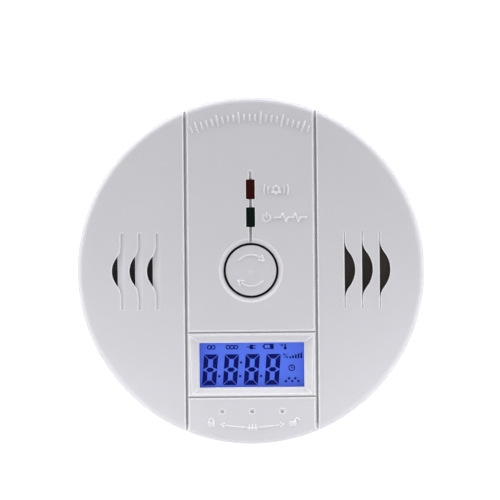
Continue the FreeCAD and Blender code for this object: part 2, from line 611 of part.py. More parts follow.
def rear_cover():
    body = new_body("rear_body")
    profile = new_sketch(body, "rear_profile", "XZ_Plane")
    outline(profile, [
        ("0", "rear_floor"), ("ring_bore", "rear_floor"), ("ring_bore", "rear_edge"),
        ("ring_radius", "rear_edge"), ("ring_radius", "rear_floor"),
        ("skirt_bore", "rear_floor"), ("skirt_bore", "rear_edge"),
        ("rear_radius - rear_bevel", "rear_edge"), ("rear_radius", "rear_edge + rear_bevel"),
        ("rear_radius", "seam_height"), ("lip_radius", "seam_height"),
        ("lip_radius", "lip_end"), ("rear_bore", "lip_end"),
        ("rear_bore", "rear_inside"), ("0", "rear_inside"),
    ])
    spun(body, "Revolution", "rear_shell", profile)

    lug = new_sketch(body, "lug_section", "XZ_Plane", turn="lug_angle")
    rectangle(lug, "(ring_radius - lug_root + lug_radius) / 2", "(rear_edge + lug_top) / 2",
              "lug_radius - ring_radius + lug_root", "lug_top - rear_edge")
    one_lug = spun(body, "Revolution", "lug", lug, angle="lug_span")
    round_the_axis(body, "lugs", [one_lug], 4)

    pad_sketch = new_sketch(body, "pad_outline", level="rear_edge")
    rectangle(pad_sketch, "0", "0", "pad_length", "pad_height")
    pad(body, "battery_pad", pad_sketch, "rear_floor - rear_edge + overlap")
    bay_sketch = new_sketch(body, "bay_outline", level="rear_inside - overlap")
    rectangle(bay_sketch, "0", "0", "bay_length + 2 * bay_wall", "bay_height + 2 * bay_wall")
    pad(body, "bay_box", bay_sketch, "bay_ceiling + bay_wall - rear_inside + overlap")
    bosses = new_sketch(body, "rear_boss_circles", level="rear_inside - overlap")
    circles(bosses, case_screw_places(), "rear_boss_radius")
    pad(body, "rear_bosses", bosses, "rear_boss_top - rear_inside + overlap")

    hollow = new_sketch(body, "hollow_outline", level="bay_ceiling")
    rectangle(hollow, "0", "0", "bay_length", "bay_height")
    pocket(body, "bay_hollow", hollow, "bay_ceiling - rear_edge + run_out")
    sinks = new_sketch(body, "sink_circles", level="sink_end")
    circles(sinks, case_screw_places(), "sink_radius")
    pocket(body, "sinks", sinks, "sink_end - rear_floor + run_out")
    holes = new_sketch(body, "case_hole_circles", level="rear_boss_top + run_out")
    circles(holes, case_screw_places(), "case_hole")
    pocket(body, "case_holes", holes, "rear_boss_top - rear_floor + 2 * run_out")

    ledges = new_sketch(body, "ledge_outline", level="rear_edge + door_wall + overlap")
    for side in (1, -1):
        rectangle(ledges, f"{side} * (bay_length / 2 - ledge_inset)", "ledge_y",
                  "ledge_width", "ledge_run")
    pad(body, "door_ledges", ledges, "ledge_wall")

    pin_holes = new_sketch(body, "pin_hole_circle", "YZ_Plane")
    circles(pin_holes, [("hinge_y", "hinge_z")], "pin_bore")
    pocket(body, "pin_holes", pin_holes, "2 * (pin_reach + overlap)", both_ways=True)

    notch = new_sketch(body, "notch_outline", level="rear_edge + notch_depth")
    rectangle(notch, "0", "-(bay_height + pad_height) / 4 - 2 * overlap",
              "thumb_notch", "(pad_height - bay_height) / 2 + bay_wall")
    pocket(body, "thumb_notch_cut", notch, "notch_depth + run_out")

    tails = new_sketch(body, "tail_outline", level="bay_ceiling + bay_wall + run_out")
    for side in (1, -1):
        rectangle(tails, f"{side} * (bay_length / 2 - plate_wall / 2)", f"{side} * cell_pitch",
                  "plate_wall + tail_slot_gap", "tail_slot")
    pocket(body, "tail_slots", tails, "bay_wall + 2 * run_out")

    for name, middle in (("right", 0), ("left", 180)):
        slit = new_sketch(body, f"{name}_vent_section", "XZ_Plane",
                          turn=f"{middle} - 3 * sidevent_step")
        rectangle(slit, "rear_bore + bay_wall", "(sidevent_low + sidevent_high) / 2",
                  "sidevent_reach", "sidevent_high - sidevent_low")
        vent = spun(body, "Groove", f"{name}_side_vent", slit, angle="sidevent_span")
        round_the_axis(body, f"{name}_side_vents", [vent], 7, "6 * sidevent_step")
    return keep(body, "rear_cover")


def battery_door():
    body = new_body("door_body")
    edge_gap = "bay_height / 2 - door_gap"
    slab = new_sketch(body, "slab_section", "YZ_Plane")
    rectangle(slab, f"(hinge_y - ({edge_gap})) / 2", "hinge_z",
              f"hinge_y + {edge_gap}", "door_wall")
    slab_pad = pad(body, "slab", slab, "bay_length - 2 * door_gap")
    slab_pad.Midplane = True
    knuckle = new_sketch(body, "knuckle_circle", "YZ_Plane")
    circles(knuckle, [("hinge_y", "hinge_z")], "door_wall / 2")
    pad(body, "knuckle", knuckle, "bay_length - 2 * door_gap").Midplane = True
    pins = new_sketch(body, "pin_circle", "YZ_Plane")
    circles(pins, [("hinge_y", "hinge_z")], "pin_radius")
    pad(body, "hinge_pins", pins, "2 * pin_reach").Midplane = True

    hook = new_sketch(body, "hook_outline", level="hinge_z")
    rectangle(hook, "0", f"hook_inset - ({edge_gap})", "latch_width - 2 * run_out",
              "hook_wall")
    pad(body, "latch_hook", hook, "door_wall / 2 + hook_rise")
    ribs = new_sketch(body, "rib_outline", level="rear_edge - grip_rise")
    for step in range(3):
        rectangle(ribs, "0", f"grip_first + {step} * grip_pitch - ({edge_gap})",
                  "latch_width - 3 * run_out", "grip_width")
    pad(body, "grip_ribs", ribs, "grip_rise + overlap")
    slits = new_sketch(body, "slit_outline", level="hinge_z + door_wall")
    for side in (1, -1):
        rectangle(slits, f"{side} * latch_width / 2",
                  f"(latch_length - run_out) / 2 - ({edge_gap})",
                  "latch_slit", "latch_length + run_out")
    body.Tip = pocket(body, "latch_slits", slits, "2 * door_wall")
    return keep(body, "battery_door")


# ---------------------------------------------------------------- front cover


def leaf_wire(x, way, half, bulge, crown, beyond=0.0):
    """A vent's outline: a straight side at x, or beyond it, and a side that swells out by
    bulge as three tangent arcs, the middle one of radius crown. way is the side it swells to."""
    turn = 2 * math.atan2(bulge, half)
    foot = half / math.sin(turn) - crown
    shoulder = Vector(x + way * foot * (1 - math.cos(turn)), foot * math.sin(turn) - half, 0)
    flank = Vector(
        x + way * foot * (1 - math.cos(turn / 2)), foot * math.sin(turn / 2) - half, 0
    )

    def above(point):
        return Vector(point.x, -point.y, 0)

    low = Vector(x, -half, 0)
    edges = [
        Part.Arc(low, flank, shoulder).toShape(),
        Part.Arc(shoulder, Vector(x + way * bulge, 0, 0), above(shoulder)).toShape(),
        Part.Arc(above(shoulder), above(flank), above(low)).toShape(),
    ]
    corners = [above(low), low]
    if beyond:
        back = x - way * beyond
        corners = [above(low), Vector(back, half, 0), Vector(back, -half, 0), low]
    edges += [
        Part.LineSegment(a, b).toShape() for a, b in zip(corners, corners[1:])
    ]
    return Part.Wire(Part.__sortEdges__(edges))


def prism(wire, low, high):
    face = Part.Face(wire)
    face.translate(Vector(0, 0, low))
    return face.extrude(Vector(0, 0, high - low))


def face_level(x, y=0.0):
    """Wall to the domed face at a place."""
    radius = number("dome_radius")
    return number("total_depth") - radius + math.sqrt(radius ** 2 - x ** 2 - y ** 2)


def vent_cutters():
    """The openings of both groups of vents, with their fine lines and scoops."""
    tools = []
    inner, outer = number("face_inside") - 2, number("total_depth") + 1
    for step in range(3):
        x = number(f"sound_vent_x + {step} * vent_pitch")
        wire = leaf_wire(x, 1, number("sound_vent_half"), number("sound_vent_bulge"),
                         number("sound_vent_crown"))
        tools.append(prism(wire, inner, outer))
        width, half = number("line_width"), number("line_half")
        tail = Part.makeBox(width, 2 * half, 3)
        tail.translate(Vector(x - width / 4, -half, face_level(x) - number("line_depth")))
        tools.append(tail)

        x = number(f"gas_vent_x - {step} * vent_pitch")
        half, bulge = number("gas_vent_half"), number("gas_vent_bulge")
        crown, reach = number("gas_vent_crown"), number("scoop_reach")
        opening = prism(leaf_wire(x, -1, half, bulge, crown), inner, outer)
        lip = x - number("gas_vent_lip")
        outside = Part.makeBox(10, 4 * half, 10)
        outside.translate(Vector(lip - 10, -2 * half, inner - 1))
        tools.append(opening.common(outside))
        scoop = prism(leaf_wire(x, -1, half, bulge, crown, beyond=reach), inner, outer)
        line_half = number("line_half")
        strip = Part.makeBox(reach, 2 * line_half, outer - inner)
        strip.translate(Vector(x, -line_half, inner))
        scoop = scoop.fuse(strip).removeSplitter()
        level = face_level(x + reach)
        corners = [
            Vector(x + reach, 0, level), Vector(lip, 0, level - number("scoop_depth")),
            Vector(lip - 4, 0, level - number("scoop_depth")), Vector(lip - 4, 0, outer + 1),
            Vector(x + reach, 0, outer + 1),
        ]
        ramp = Part.Face(Part.makePolygon(corners + corners[:1]))
        ramp.translate(Vector(0, -2 * line_half, 0))
        scoop = scoop.common(ramp.extrude(Vector(0, 4 * line_half, 0)))
        tools.append(scoop.cut(opening.common(outside)))
    return [made(f"vent_cutter_{n}", shape) for n, shape in enumerate(tools)]


def dome_groove(body, name, plane, at, sag, floor, depth, bevels, angle):
    """A groove of even depth that follows the dome, spun about the dome's far centre."""
    sketch = new_sketch(body, f"{name}_section", plane, level="total_depth - dome_radius")
    surface = f"dome_radius - {sag}"
    low, high = f"{at} - {floor} / 2", f"{at} + {floor} / 2"
    left, right = bevels
    off = f"{surface} + groove_clear"
    outline(sketch, [
        (low, f"{surface} - {depth}"), (high, f"{surface} - {depth}"),
        (high, f"{surface} - {right}"), (f"{high} + {right}", surface),
        (f"{high} + {right}", off), (f"{low} - {left}", off),
        (f"{low} - {left}", surface), (low, f"{surface} - {left}"),
    ])
    return spun(body, "Groove", name, sketch, axis="H_Axis", angle=angle)


def front_cover():
    body = new_body("front_body")
    profile = new_sketch(body, "front_profile", "XZ_Plane")
    rim_level = "total_depth - dome_drop"
    dish_level = "total_depth - button_dish^2 / (2 * dome_radius)"
    outline(profile, [
        ("button_bore", "sleeve_end"), ("sleeve_radius", "sleeve_end"),
        ("sleeve_radius", "face_inside"), ("cover_bore", "face_inside"),
        ("cover_bore", "seam_height"), ("rim_radius - seam_bevel", "seam_height"),
        ("rim_radius", "seam_height + seam_bevel"),
        ("rim_radius", f"{rim_level} - rim_round", "-1.0001 * rim_round"),
        ("dome_edge", rim_level, "-dome_radius"),
        ("button_dish", dish_level), ("button_bore", "total_depth - dish_depth"),
    ])
    spun(body, "Revolution", "front_shell", profile)

    bosses = new_sketch(body, "boss_circles", level="boss_end")
    circles(bosses, case_screw_places(), "boss_radius")
    pad(body, "case_bosses", bosses, "face_inside + face_root - boss_end")
    posts = new_sketch(body, "post_circles", level="board_front")
    circles(posts, board_post_places(), "post_radius")
    pad(body, "board_posts", posts, "face_inside + face_root - board_front")
    rib = new_sketch(body, "rib_circles", level="rib_end")
    circles(rib, [("sounder_x", "0")], "rib_radius")
    circles(rib, [("sounder_x", "0")], "rib_bore")
    pad(body, "sounder_rib", rib, "face_inside + face_root - rib_end")

    pilots = new_sketch(body, "pilot_circles", level="pilot_end")
    circles(pilots, case_screw_places(), "case_pilot")
    pocket(body, "case_pilots", pilots, "pilot_end - boss_end + run_out")
    board_pilots = new_sketch(body, "board_pilot_circles", level="board_front + board_pilot_depth")
    circles(board_pilots, board_post_places(), "board_pilot")
    pocket(body, "board_pilots", board_pilots, "board_pilot_depth + run_out")

    dome_groove(body, "right_groove", "XZ_Plane", "groove_at", "sag_upright", "groove_width",
                "groove_depth", ("panel_bevel", "wing_bevel"), "groove_span")
    dome_groove(body, "left_groove", "XZ_Plane", "-groove_at", "sag_upright", "groove_width",
                "groove_depth", ("wing_bevel", "panel_bevel"), "groove_span")
    for name in ("upper", "lower"):
        dome_groove(body, f"{name}_groove", "YZ_Plane", f"{name}_groove", f"sag_{name}",
                    "level_width", "level_depth", ("level_bevel", "level_bevel"),
                    "2 * asin(groove_at / dome_radius)")

    channel = new_sketch(body, "channel_outline", level="total_depth + run_out")
    rectangle(channel, "0", "(channel_top + button_bore + 2 * overlap) / 2",
              "channel_width", "channel_top - button_bore - 2 * overlap")
    pocket(body, "channel", channel, "total_depth + run_out - channel_floor")
    lamps = new_sketch(body, "lamp_outline", level="total_depth + run_out")
    for level in ("alarm_y", "operate_y"):
        rectangle(lamps, "0", level, "lamp_width", "lamp_height")
    pocket(body, "lamp_windows", lamps, "total_depth + 2 * run_out - face_inside")

    mouth = new_sketch(body, "bezel_mouth", level="total_depth")
    rectangle(mouth, "display_x", "display_y", "bezel_length + bezel_lift",
              "bezel_height + bezel_lift")
    ledge = new_sketch(body, "bezel_ledge", level="ledge_level")
    rectangle(ledge, "display_x", "display_y", "ledge_length", "ledge_height")
    bezel = body.newObject("PartDesign::SubtractiveLoft", "bezel")
    bezel.Profile = mouth
    bezel.Sections = [ledge]
    window = new_sketch(body, "window_outline", level="total_depth + run_out")
    rectangle(window, "display_x", "display_y", "window_length", "window_height")
    body.Tip = pocket(body, "display_opening", window, "total_depth + 2 * run_out - face_inside")

    dimples = []
    for step in (-1, 0, 1):
        ball = bind(
            doc.addObject("Part::Sphere", f"dimple_{step + 2}"), Radius="dimple_radius",
            Placement__Base__x=f"{step} * dimple_pitch", Placement__Base__y="dimple_y",
            Placement__Base__z="total_depth - dimple_y^2 / (2 * dome_radius) + dimple_lift",
        )
        dimples.append(ball)
    return keep(without("front_cut", body, *vent_cutters(), *dimples), "front_cover")


# ---------------------------------------------------------------- button and switch


def test_button():
    body = new_body("button_body")
    profile = new_sketch(body, "button_profile", "XZ_Plane")
    outline(profile, [
        ("0", "button_foot"), ("stem_radius", "button_foot"), ("stem_radius", "button_crown"),
        ("button_hollow", "button_crown"), ("button_hollow", "button_foot"),
        ("button_flange", "button_foot"), ("button_flange", "flange_top"),
        ("button_radius", "flange_top"),
        ("button_radius", "button_top - button_round - button_dome", "-1.0001 * button_round"),
        ("button_radius - button_round", "button_top - button_dome"), ("0", "button_top"),
    ])
    spun(body, "Revolution", "button_shape", profile)
    return keep(body, "test_button")


def push_switch():
    block_ = block("switch_block", "switch_side", "switch_side", "switch_top - board_front",
                   z="board_front")
    bore = rod("switch_bore", "plunger_bore", "switch_floor", "switch_top + run_out")
    keep(without("switch_cut", block_, bore), "switch_body")
    keep(rod("plunger", "plunger_radius", "plunger_foot", "button_foot"), "switch_plunger")


# ---------------------------------------------------------------- display


def display():
    x, y = "display_x", "display_y"
    keep(block("lens", "lens_length", "lens_height", "lens_wall", x, y,
               "face_inside - lens_wall"), "lcd_window")
    front = block("front_glass", "glass_length", "front_glass_height", "glass_wall", x,
                  f"{y} + (glass_height - front_glass_height) / 2", "front_glass_back")
    keep(front, "lcd_front_glass")
    keep(block("rear_glass", "glass_length", "glass_height", "glass_wall", x, y,
               "rear_glass_back"), "lcd_rear_glass")
    keep(block("backlight", "glass_length", "glass_height", "backlight_wall", x, y,
               "backlight_back"), "lcd_backlight")
    outer = block("frame_outer", "frame_length", "frame_height", "frame_front - board_front",
                  x, y, "board_front")
    tray = block("frame_tray", "tray_length", "tray_height", "tray_depth", x, y,
                 "backlight_back - tray_gap")
    under = block("frame_under", "tray_length + run_out", "tray_height - 2 * overlap",
                  "under_height", x, y, "board_front - overlap")
    slot = block("frame_slot", "pin_slot", "pin_slot_width", "pin_slot_depth", x,
                 f"{y} - glass_height / 2 - pin_slot_off", "board_front")
    keep(without("frame_cut", outer, tray, under, slot), "lcd_frame")
    pins = [
        block(f"display_pin_{n}", "display_pin_width", "display_pin_wall",
              "rear_glass_back + glass_wall - board_front",
              f"{x} + ({n} - 7) * display_pin_pitch",
              f"{y} - (glass_height + display_pin_wall) / 2", "board_front")
        for n in range(1, 14)
    ]
    keep(grouped("display_pins", *pins), "lcd_pins")


# ---------------------------------------------------------------- lamps


def lamps():
    legs = []
    for colour, level in (("alarm", "alarm_y"), ("operate", "operate_y")):
        lens = block(f"{colour}_lens", "lamp_width - 2 * lamp_gap", "lamp_height - 2 * lamp_gap",
                     "lamp_top - lamp_foot", "0", level, "lamp_foot")
        flange = block(f"{colour}_flange", "lamp_width + flange_reach",
                       "lamp_height + flange_reach",
                       "lamp_flange", "0", level, "lamp_foot")
        keep(joined(f"{colour}_lamp", lens, flange), f"{colour}_led")
        for side in (1, -1):
            legs.append(rod(f"{colour}_leg_{side + 2}", "leg_radius", "leg_end", "lamp_foot",
                            "0", f"{level} + {side} * leg_pitch / 2"))
    keep(grouped("lamp_legs", *legs), "led_legs")


# ---------------------------------------------------------------- sounder and gas sensor


def sounder():
    x = "sounder_x"
    shell = rod("sounder_shell", "sounder_radius", "sounder_back", "sounder_front", x)
    hollow = rod("sounder_hollow", "sounder_radius - sounder_wall", "sounder_back - run_out",
                 "sounder_front - sounder_wall", x)
    seat = rod("sounder_seat", "sounder_radius - 2 * sounder_wall", "disc_back - run_out",
               "sounder_front - sounder_wall", x)
    step = rod("sounder_step", "sounder_radius - sounder_wall / 2", "disc_back + disc_wall",
               "sounder_front - rim_gap", x)
    hole = rod("sounder_mouth", "sounder_hole", "sounder_back", "sounder_front + run_out", x)
    rim = without("sounder_rim", step, seat)
    keep(joined("sounder_case_parts", without("sounder_cup", shell, hollow, hole), rim),
         "sounder_case")
    keep(rod("brass", "sounder_radius - sounder_wall - sounder_slack", "disc_back",
             "disc_back + disc_wall", x), "sounder_disc")
    keep(rod("ceramic", "ceramic_radius", "disc_back - ceramic_wall", "disc_back", x),
         "sounder_ceramic")
    plate = rod("retainer_plate", "sounder_radius - sounder_wall - sounder_slack", "sounder_back",
                "disc_back", x)
    well = rod("retainer_well", "sounder_radius - 2 * sounder_wall", "sounder_back + run_out",
               "disc_back + run_out", x)
    exits = [rod(f"retainer_exit_{s + 2}", "retainer_exit", "sounder_back - run_out",
                 "sounder_back + 2 * run_out", f"{x} - lead_inset", f"{s} * lead_spread")
             for s in (1, -1)]
    keep(without("retainer_cut", plate, well, *exits), "sounder_retainer")


def gas_sensor():
    x = "sensor_x"
    keep(rod("can", "sensor_radius", "sensor_back", "sensor_front", x), "sensor_can")
    cap = rod("cap", "sensor_radius - cap_step", "sensor_front", "sensor_cap", x)
    ends = ("sensor_front - run_out", "sensor_cap + run_out")
    holes = [rod("cap_hole", "cap_hole_radius", *ends, x)]
    for n in range(6):
        holes.append(rod(f"cap_hole_{n}", "cap_hole_radius", *ends,
                         f"{x} + cap_hole_circle * cos({60 * n} deg)",
                         f"cap_hole_circle * sin({60 * n} deg)"))
    keep(without("cap_cut", cap, *holes), "sensor_cap")
    pins = [rod(f"sensor_pin_{n}", "leg_radius", "leg_end", "sensor_back",
                f"{x} + {dx}", f"{dy}") for n, (dx, dy) in enumerate(SENSOR_PINS)]
    keep(grouped("sensor_pin_group", *pins), "sensor_pins")
    keep(block("filter", "filter_width", "filter_height", "filter_front - filter_back",
               "sensor_x - filter_shift", "0", "filter_back"), "dust_filter")


SENSOR_PINS = ((4.4, 0.0), (-2.2, 3.8), (-2.2, -3.8))


# ---------------------------------------------------------------- circuit board


def leg_places():
    """Where legs and leads go through the board."""
    places = [("0", f"{level} + {side} * leg_pitch / 2")
              for level in ("alarm_y", "operate_y") for side in (1, -1)]
    places += [(f"sensor_x + {dx}", str(dy)) for dx, dy in SENSOR_PINS]
    return places


def circuit_board():
    disc = rod("board_disc", "board_radius", "board_back", "board_front")
    tools = []
    for n, (x, y) in enumerate(case_screw_places()):
        tools.append(rod(f"board_notch_{n}", "board_notch", "board_back - run_out",
                         "board_front + run_out", x, y))
    for n, (x, y) in enumerate(board_post_places()):
        tools.append(rod(f"board_hole_{n}", "board_hole", "board_back - run_out",
                         "board_front + run_out", x, y))
    for n, (x, y) in enumerate(leg_places()):
        tools.append(rod(f"leg_hole_{n}", "leg_hole", "board_back - run_out",
                         "board_front + run_out", x, y))
    keep(without("board_cut", disc, *tools), "circuit_board")

    keep(block("controller", "controller_side", "controller_side", "controller_wall",
               "controller_x", "controller_y", "board_front"),
         "controller_chip")
    keep(block("driver", "driver_length", "driver_width", "driver_wall", "coil_x", "driver_y",
               "board_front"), "driver_chip")
    capacitors = [
        rod(f"capacitor_{n}", radius, "board_front", f"board_front + {height}", x, y)
        for n, (x, y, radius, height) in enumerate((
            ("-15", "9", "3.15", "7.6"), ("-11", "20", "2.5", "6.8"), ("13", "21", "2.5", "6.8"),
        ))
    ]
    keep(grouped("capacitor_group", *capacitors), "capacitors")
    coil = ("coil_x", "coil_y")
    top = "board_front + coil_height"
    low, high = "board_front + coil_flange_wall", f"{top} - coil_flange_wall"
    core = rod("coil_rod", "coil_rod_radius", "board_front", top, *coil)
    flanges = [rod("lower_flange", "coil_flange", "board_front", low, *coil),
               rod("upper_flange", "coil_flange", high, top, *coil)]
    keep(joined("coil_spool", core, *flanges), "coil_core")
    turns = rod("coil_turns", "coil_turns_radius", low, high, *coil)
    inner = rod("coil_inner", "coil_rod_radius", "board_front", top, *coil)
    keep(without("coil_cut", turns, inner), "coil_winding")
    keep(block("crystal", "crystal_length", "crystal_width", "crystal_height", "crystal_x",
               "crystal_y", "board_front"), "crystal_can")
    resistors = [
        block(f"resistor_{n}", "resistor_length", "resistor_width", "resistor_wall", str(x),
              str(y), "board_front")
        for n, (x, y) in enumerate(
            [(-6 + 3 * k, 33) for k in range(5)] + [(-24, 14 + 2.5 * k) for k in range(4)]
            + [(21, -13 - 2.5 * k) for k in range(3)]
        )
    ]
    keep(grouped("resistor_group", *resistors), "chip_resistors")


# ---------------------------------------------------------------- batteries


SPRING_SIDES = 14


def cell_rows():
    """Each cell's number, its height and the side that its button points to."""
    return [(1, "-cell_pitch", 1), (2, "0", -1), (3, "cell_pitch", 1)]


def contact_spring(name, room, base_x, y, way):
    """A coil spring along x, in the room between a cell's base at base_x and its plate."""
    wire, radius, pitch = (number(f"spring_{part}") for part in ("wire", "radius", "pitch"))
    gap = 0.03
    rise = room - 2 * wire - 2 * gap
    steps = round(SPRING_SIDES * rise / pitch)
    route = []
    for step in range(steps + 1):
        turn = 2 * math.pi * step / SPRING_SIDES
        along = base_x - way * (wire + gap + rise * step / steps)
        across = way * radius * math.cos(turn)
        route.append((along, y + across, number("cell_z") + radius * math.sin(turn)))
    return bent_tube(name, route, wire)


def batteries():
    end = "(bay_length / 2 - plate_wall - plate_bump)"
    room = number("bay_length - 2 * plate_wall - plate_bump - cell_length")
    springs = []
    for index, y, way in cell_rows():
        can_ends = (f"{end} - cell_length", f"{end} - cell_button")
        button_ends = (f"{end} - cell_button - run_out", end)
        if way < 0:
            can_ends = (f"cell_button - {end}", f"cell_length - {end}")
            button_ends = (f"-{end}", f"cell_button + run_out - {end}")
        can = level_rod(f"can_{index}", "cell_radius", *can_ends, y, "cell_z")
        button = level_rod(f"cell_button_{index}", "button_tip", *button_ends, y, "cell_z")
        keep(joined(f"cell_{index}", can, button), f"battery_cell_{index}")
        base_x = number(can_ends[0] if way > 0 else can_ends[1])
        springs.append(contact_spring(f"spring_{index}", room, base_x, number(y), way))
    keep(grouped("spring_group", *springs), "battery_springs")


def contact_plate(name, side, low_y, high_y, bump_y, tail_y=None):
    """A contact plate on an end wall of the bay, with a bump and perhaps a solder tail."""
    middle = f"{side} * (bay_length / 2 - plate_wall / 2)"
    parts = [block(f"{name}_sheet", "plate_wall", f"({high_y}) - ({low_y})",
                   "plate_height", middle, f"(({high_y}) + ({low_y})) / 2",
                   "cell_z - plate_height / 2")]
    if bump_y is not None:
        face = "bay_length / 2 - plate_wall"
        ends = (f"{face} - plate_bump", f"{face} + overlap")
        if side < 0:
            ends = (f"-({ends[1]})", f"-({ends[0]})")
        parts.append(level_rod(f"{name}_bump", "bump_radius", *ends, bump_y, "cell_z"))
    if tail_y is not None:
        parts.append(block(f"{name}_tail", "plate_wall", "solder_tail", "tail_top - cell_z", middle,
                           tail_y, "cell_z"))
    return keep(joined(f"{name}_parts", *parts) if len(parts) > 1 else parts[0], name)


def contacts():
    half = "plate_half"
    contact_plate("battery_link_right", 1, f"-cell_pitch - {half}", half, "-cell_pitch")
    contact_plate("battery_link_left", -1, f"-{half}", f"cell_pitch + {half}", "0")
    contact_plate("positive_terminal", 1, f"cell_pitch - {half}", f"cell_pitch + {half}",
                  "cell_pitch", "cell_pitch")
    contact_plate("negative_terminal", -1, f"-cell_pitch - {half}", f"-cell_pitch + {half}",
                  None, "-cell_pitch")


def bent_tube(name, route, radius):
    """A lead along straight runs joined by tangent arcs, each as large as its runs allow."""
    points = [Vector(*p) for p in route]
    edges = []
    at = points[0]
    for before, corner, after in zip(points, points[1:], points[2:]):
        back, onward = (before - corner), (after - corner)
        turn = math.pi - back.getAngle(onward)
        reach = 0.45 * min(back.Length, onward.Length)
        arc_start = corner + back.normalize() * reach
        arc_end = corner + onward.normalize() * reach
        bend = reach / math.tan(turn / 2)
        inward = (back + onward).normalize()
        centre = corner + inward * (bend / math.cos(turn / 2))
        edges.append(Part.LineSegment(at, arc_start).toShape())
        edges.append(Part.Arc(arc_start, centre - inward * bend, arc_end).toShape())
        at = arc_end
    edges.append(Part.LineSegment(at, points[-1]).toShape())
    path = Part.Wire(edges)
    section = Part.Wire(Part.makeCircle(radius, points[0], points[1] - points[0]))
    tube = path.makePipeShell([section], True, True)
    share = tube.Volume / (math.pi * radius ** 2 * path.Length)
    if not 0.97 < share < 1.03:
        raise RuntimeError(f"{name}: the lead's volume is {share:.3f} of what its length needs")
    return made(name, tube)


def leads():
    radius = number("lead_radius")
    tail_x = number("bay_length / 2 - plate_wall")
    tail_y = number("cell_pitch")
    low, board = number("bay_ceiling + bay_wall") + radius + number("overlap"), number("board_back")
    for label, side in (("positive_lead", 1), ("negative_lead", -1)):
        route = [
            (side * tail_x, side * tail_y, low),
            (side * (tail_x - 5), side * tail_y, low),
            (side * (tail_x - 10), side * (tail_y - 2.5), low),
            (side * (tail_x - 14), side * (tail_y - 2.8), low),
            (side * (tail_x - 14), side * (tail_y - 2.8), board),
        ]
        keep(bent_tube(f"{label}_tube", route, radius), label)
    front = number("board_front")
    drop = number("sounder_back") - 2 * number("sounder_lead")
    spread, splay, run = number("lead_spread"), number("lead_spread") + 0.4, 5.5
    ceramic = number("disc_back - ceramic_wall")
    pair = []
    for side in (1, -1):
        x = number("sounder_x - lead_inset")
        route = [
            (x, side * spread, ceramic), (x, side * spread, drop),
            (x - run, side * splay, drop), (x - run, side * splay, front),
        ]
        pair.append(bent_tube(f"sounder_lead_{side + 2}", route, number("sounder_lead")))
    keep(grouped("sounder_lead_pair", *pair), "sounder_leads")


# ---------------------------------------------------------------- screws


def screw(name, x, y, head_low, head_high, head_radius, shank_radius, tip):
    head = rod(f"{name}_head", head_radius, head_low, head_high, x, y)
    shank = rod(f"{name}_shank", shank_radius, head_high, tip, x, y)
    sides = (("cross_length", "cross_width"), ("cross_width", "cross_length"))
    cross = [block(f"{name}_cross_{n}", length, width, "cross_depth + overlap", x, y,
                   f"{head_low} - overlap") for n, (length, width) in enumerate(sides)]
    return without(name, joined(f"{name}_blank", head, shank), *cross)


def screws():
    case = [screw(f"case_screw_{n}", x, y, "sink_end - head_height", "sink_end", "head_radius",
                  "case_shank", "case_tip")
            for n, (x, y) in enumerate(case_screw_places())]
    keep(grouped("case_screw_group", *case), "case_screws")
    board = [screw(f"board_screw_{n}", x, y, "board_back - board_head_height", "board_back",
                   "board_head", "board_shank", "board_front + board_reach")
             for n, (x, y) in enumerate(board_post_places())]
    keep(grouped("board_screw_group", *board), "board_screws")


# ---------------------------------------------------------------- build and write


def check_document():
    for thing in doc.Objects:
        if {"Invalid", "Error"} & set(thing.State):
            raise RuntimeError(f"{thing.Name} ({thing.Label}) failed: {thing.State}")
    for piece in pieces:
        shape = piece.Shape
        if shape.isNull() or not shape.isValid() or not shape.Solids:
            raise RuntimeError(f"{piece.Label} has no valid solid")


def main():
    wall_bracket()
    rear_cover()
    battery_door()
    front_cover()
    test_button()
    push_switch()
    display()
    lamps()
    sounder()
    gas_sensor()
    circuit_board()
    batteries()
    contacts()
    leads()
    screws()
    doc.recompute()
    check_document()
    os.makedirs("parts", exist_ok=True)
    for piece in pieces:
        piece.Shape.exportStep(f"parts/{piece.Label}.step")
        print(f"{piece.Label}: {len(piece.Shape.Solids)} solid(s), {piece.Shape.Volume:.1f} mm3")


main()
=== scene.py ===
"""Finishes a wall-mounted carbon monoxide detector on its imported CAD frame.

The marks and the dark parts of the display are drawn lying down in millimetres, with x to the
right and y up the face. They are then stood up in metres, laid on the part that carries them and
given their thickness.
"""
import math

import bpy
from bpy.props import FloatProperty, FloatVectorProperty, IntProperty, PointerProperty
from mathutils import Matrix, Vector


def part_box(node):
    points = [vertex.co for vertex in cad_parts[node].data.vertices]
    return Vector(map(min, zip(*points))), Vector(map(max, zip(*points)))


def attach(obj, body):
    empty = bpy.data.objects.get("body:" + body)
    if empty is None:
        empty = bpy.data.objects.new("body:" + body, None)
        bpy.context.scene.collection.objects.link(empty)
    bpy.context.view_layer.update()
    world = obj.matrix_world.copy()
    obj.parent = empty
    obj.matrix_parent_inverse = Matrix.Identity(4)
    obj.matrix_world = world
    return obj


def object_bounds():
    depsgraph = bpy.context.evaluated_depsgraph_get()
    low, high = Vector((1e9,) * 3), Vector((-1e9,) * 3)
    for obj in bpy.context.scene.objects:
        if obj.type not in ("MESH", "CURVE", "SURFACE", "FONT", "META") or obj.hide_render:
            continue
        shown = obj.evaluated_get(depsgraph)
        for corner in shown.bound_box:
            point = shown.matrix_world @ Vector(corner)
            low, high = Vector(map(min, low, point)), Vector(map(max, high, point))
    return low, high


bl_info = {
    "name": "Carbon Monoxide Detector",
    "version": (1, 0, 0),
    "blender": (4, 5, 0),
    "location": "View3D > Sidebar > Detector",
    "description": "Finishes a wall-mounted carbon monoxide detector on its packed frame",
    "category": "Object",
}

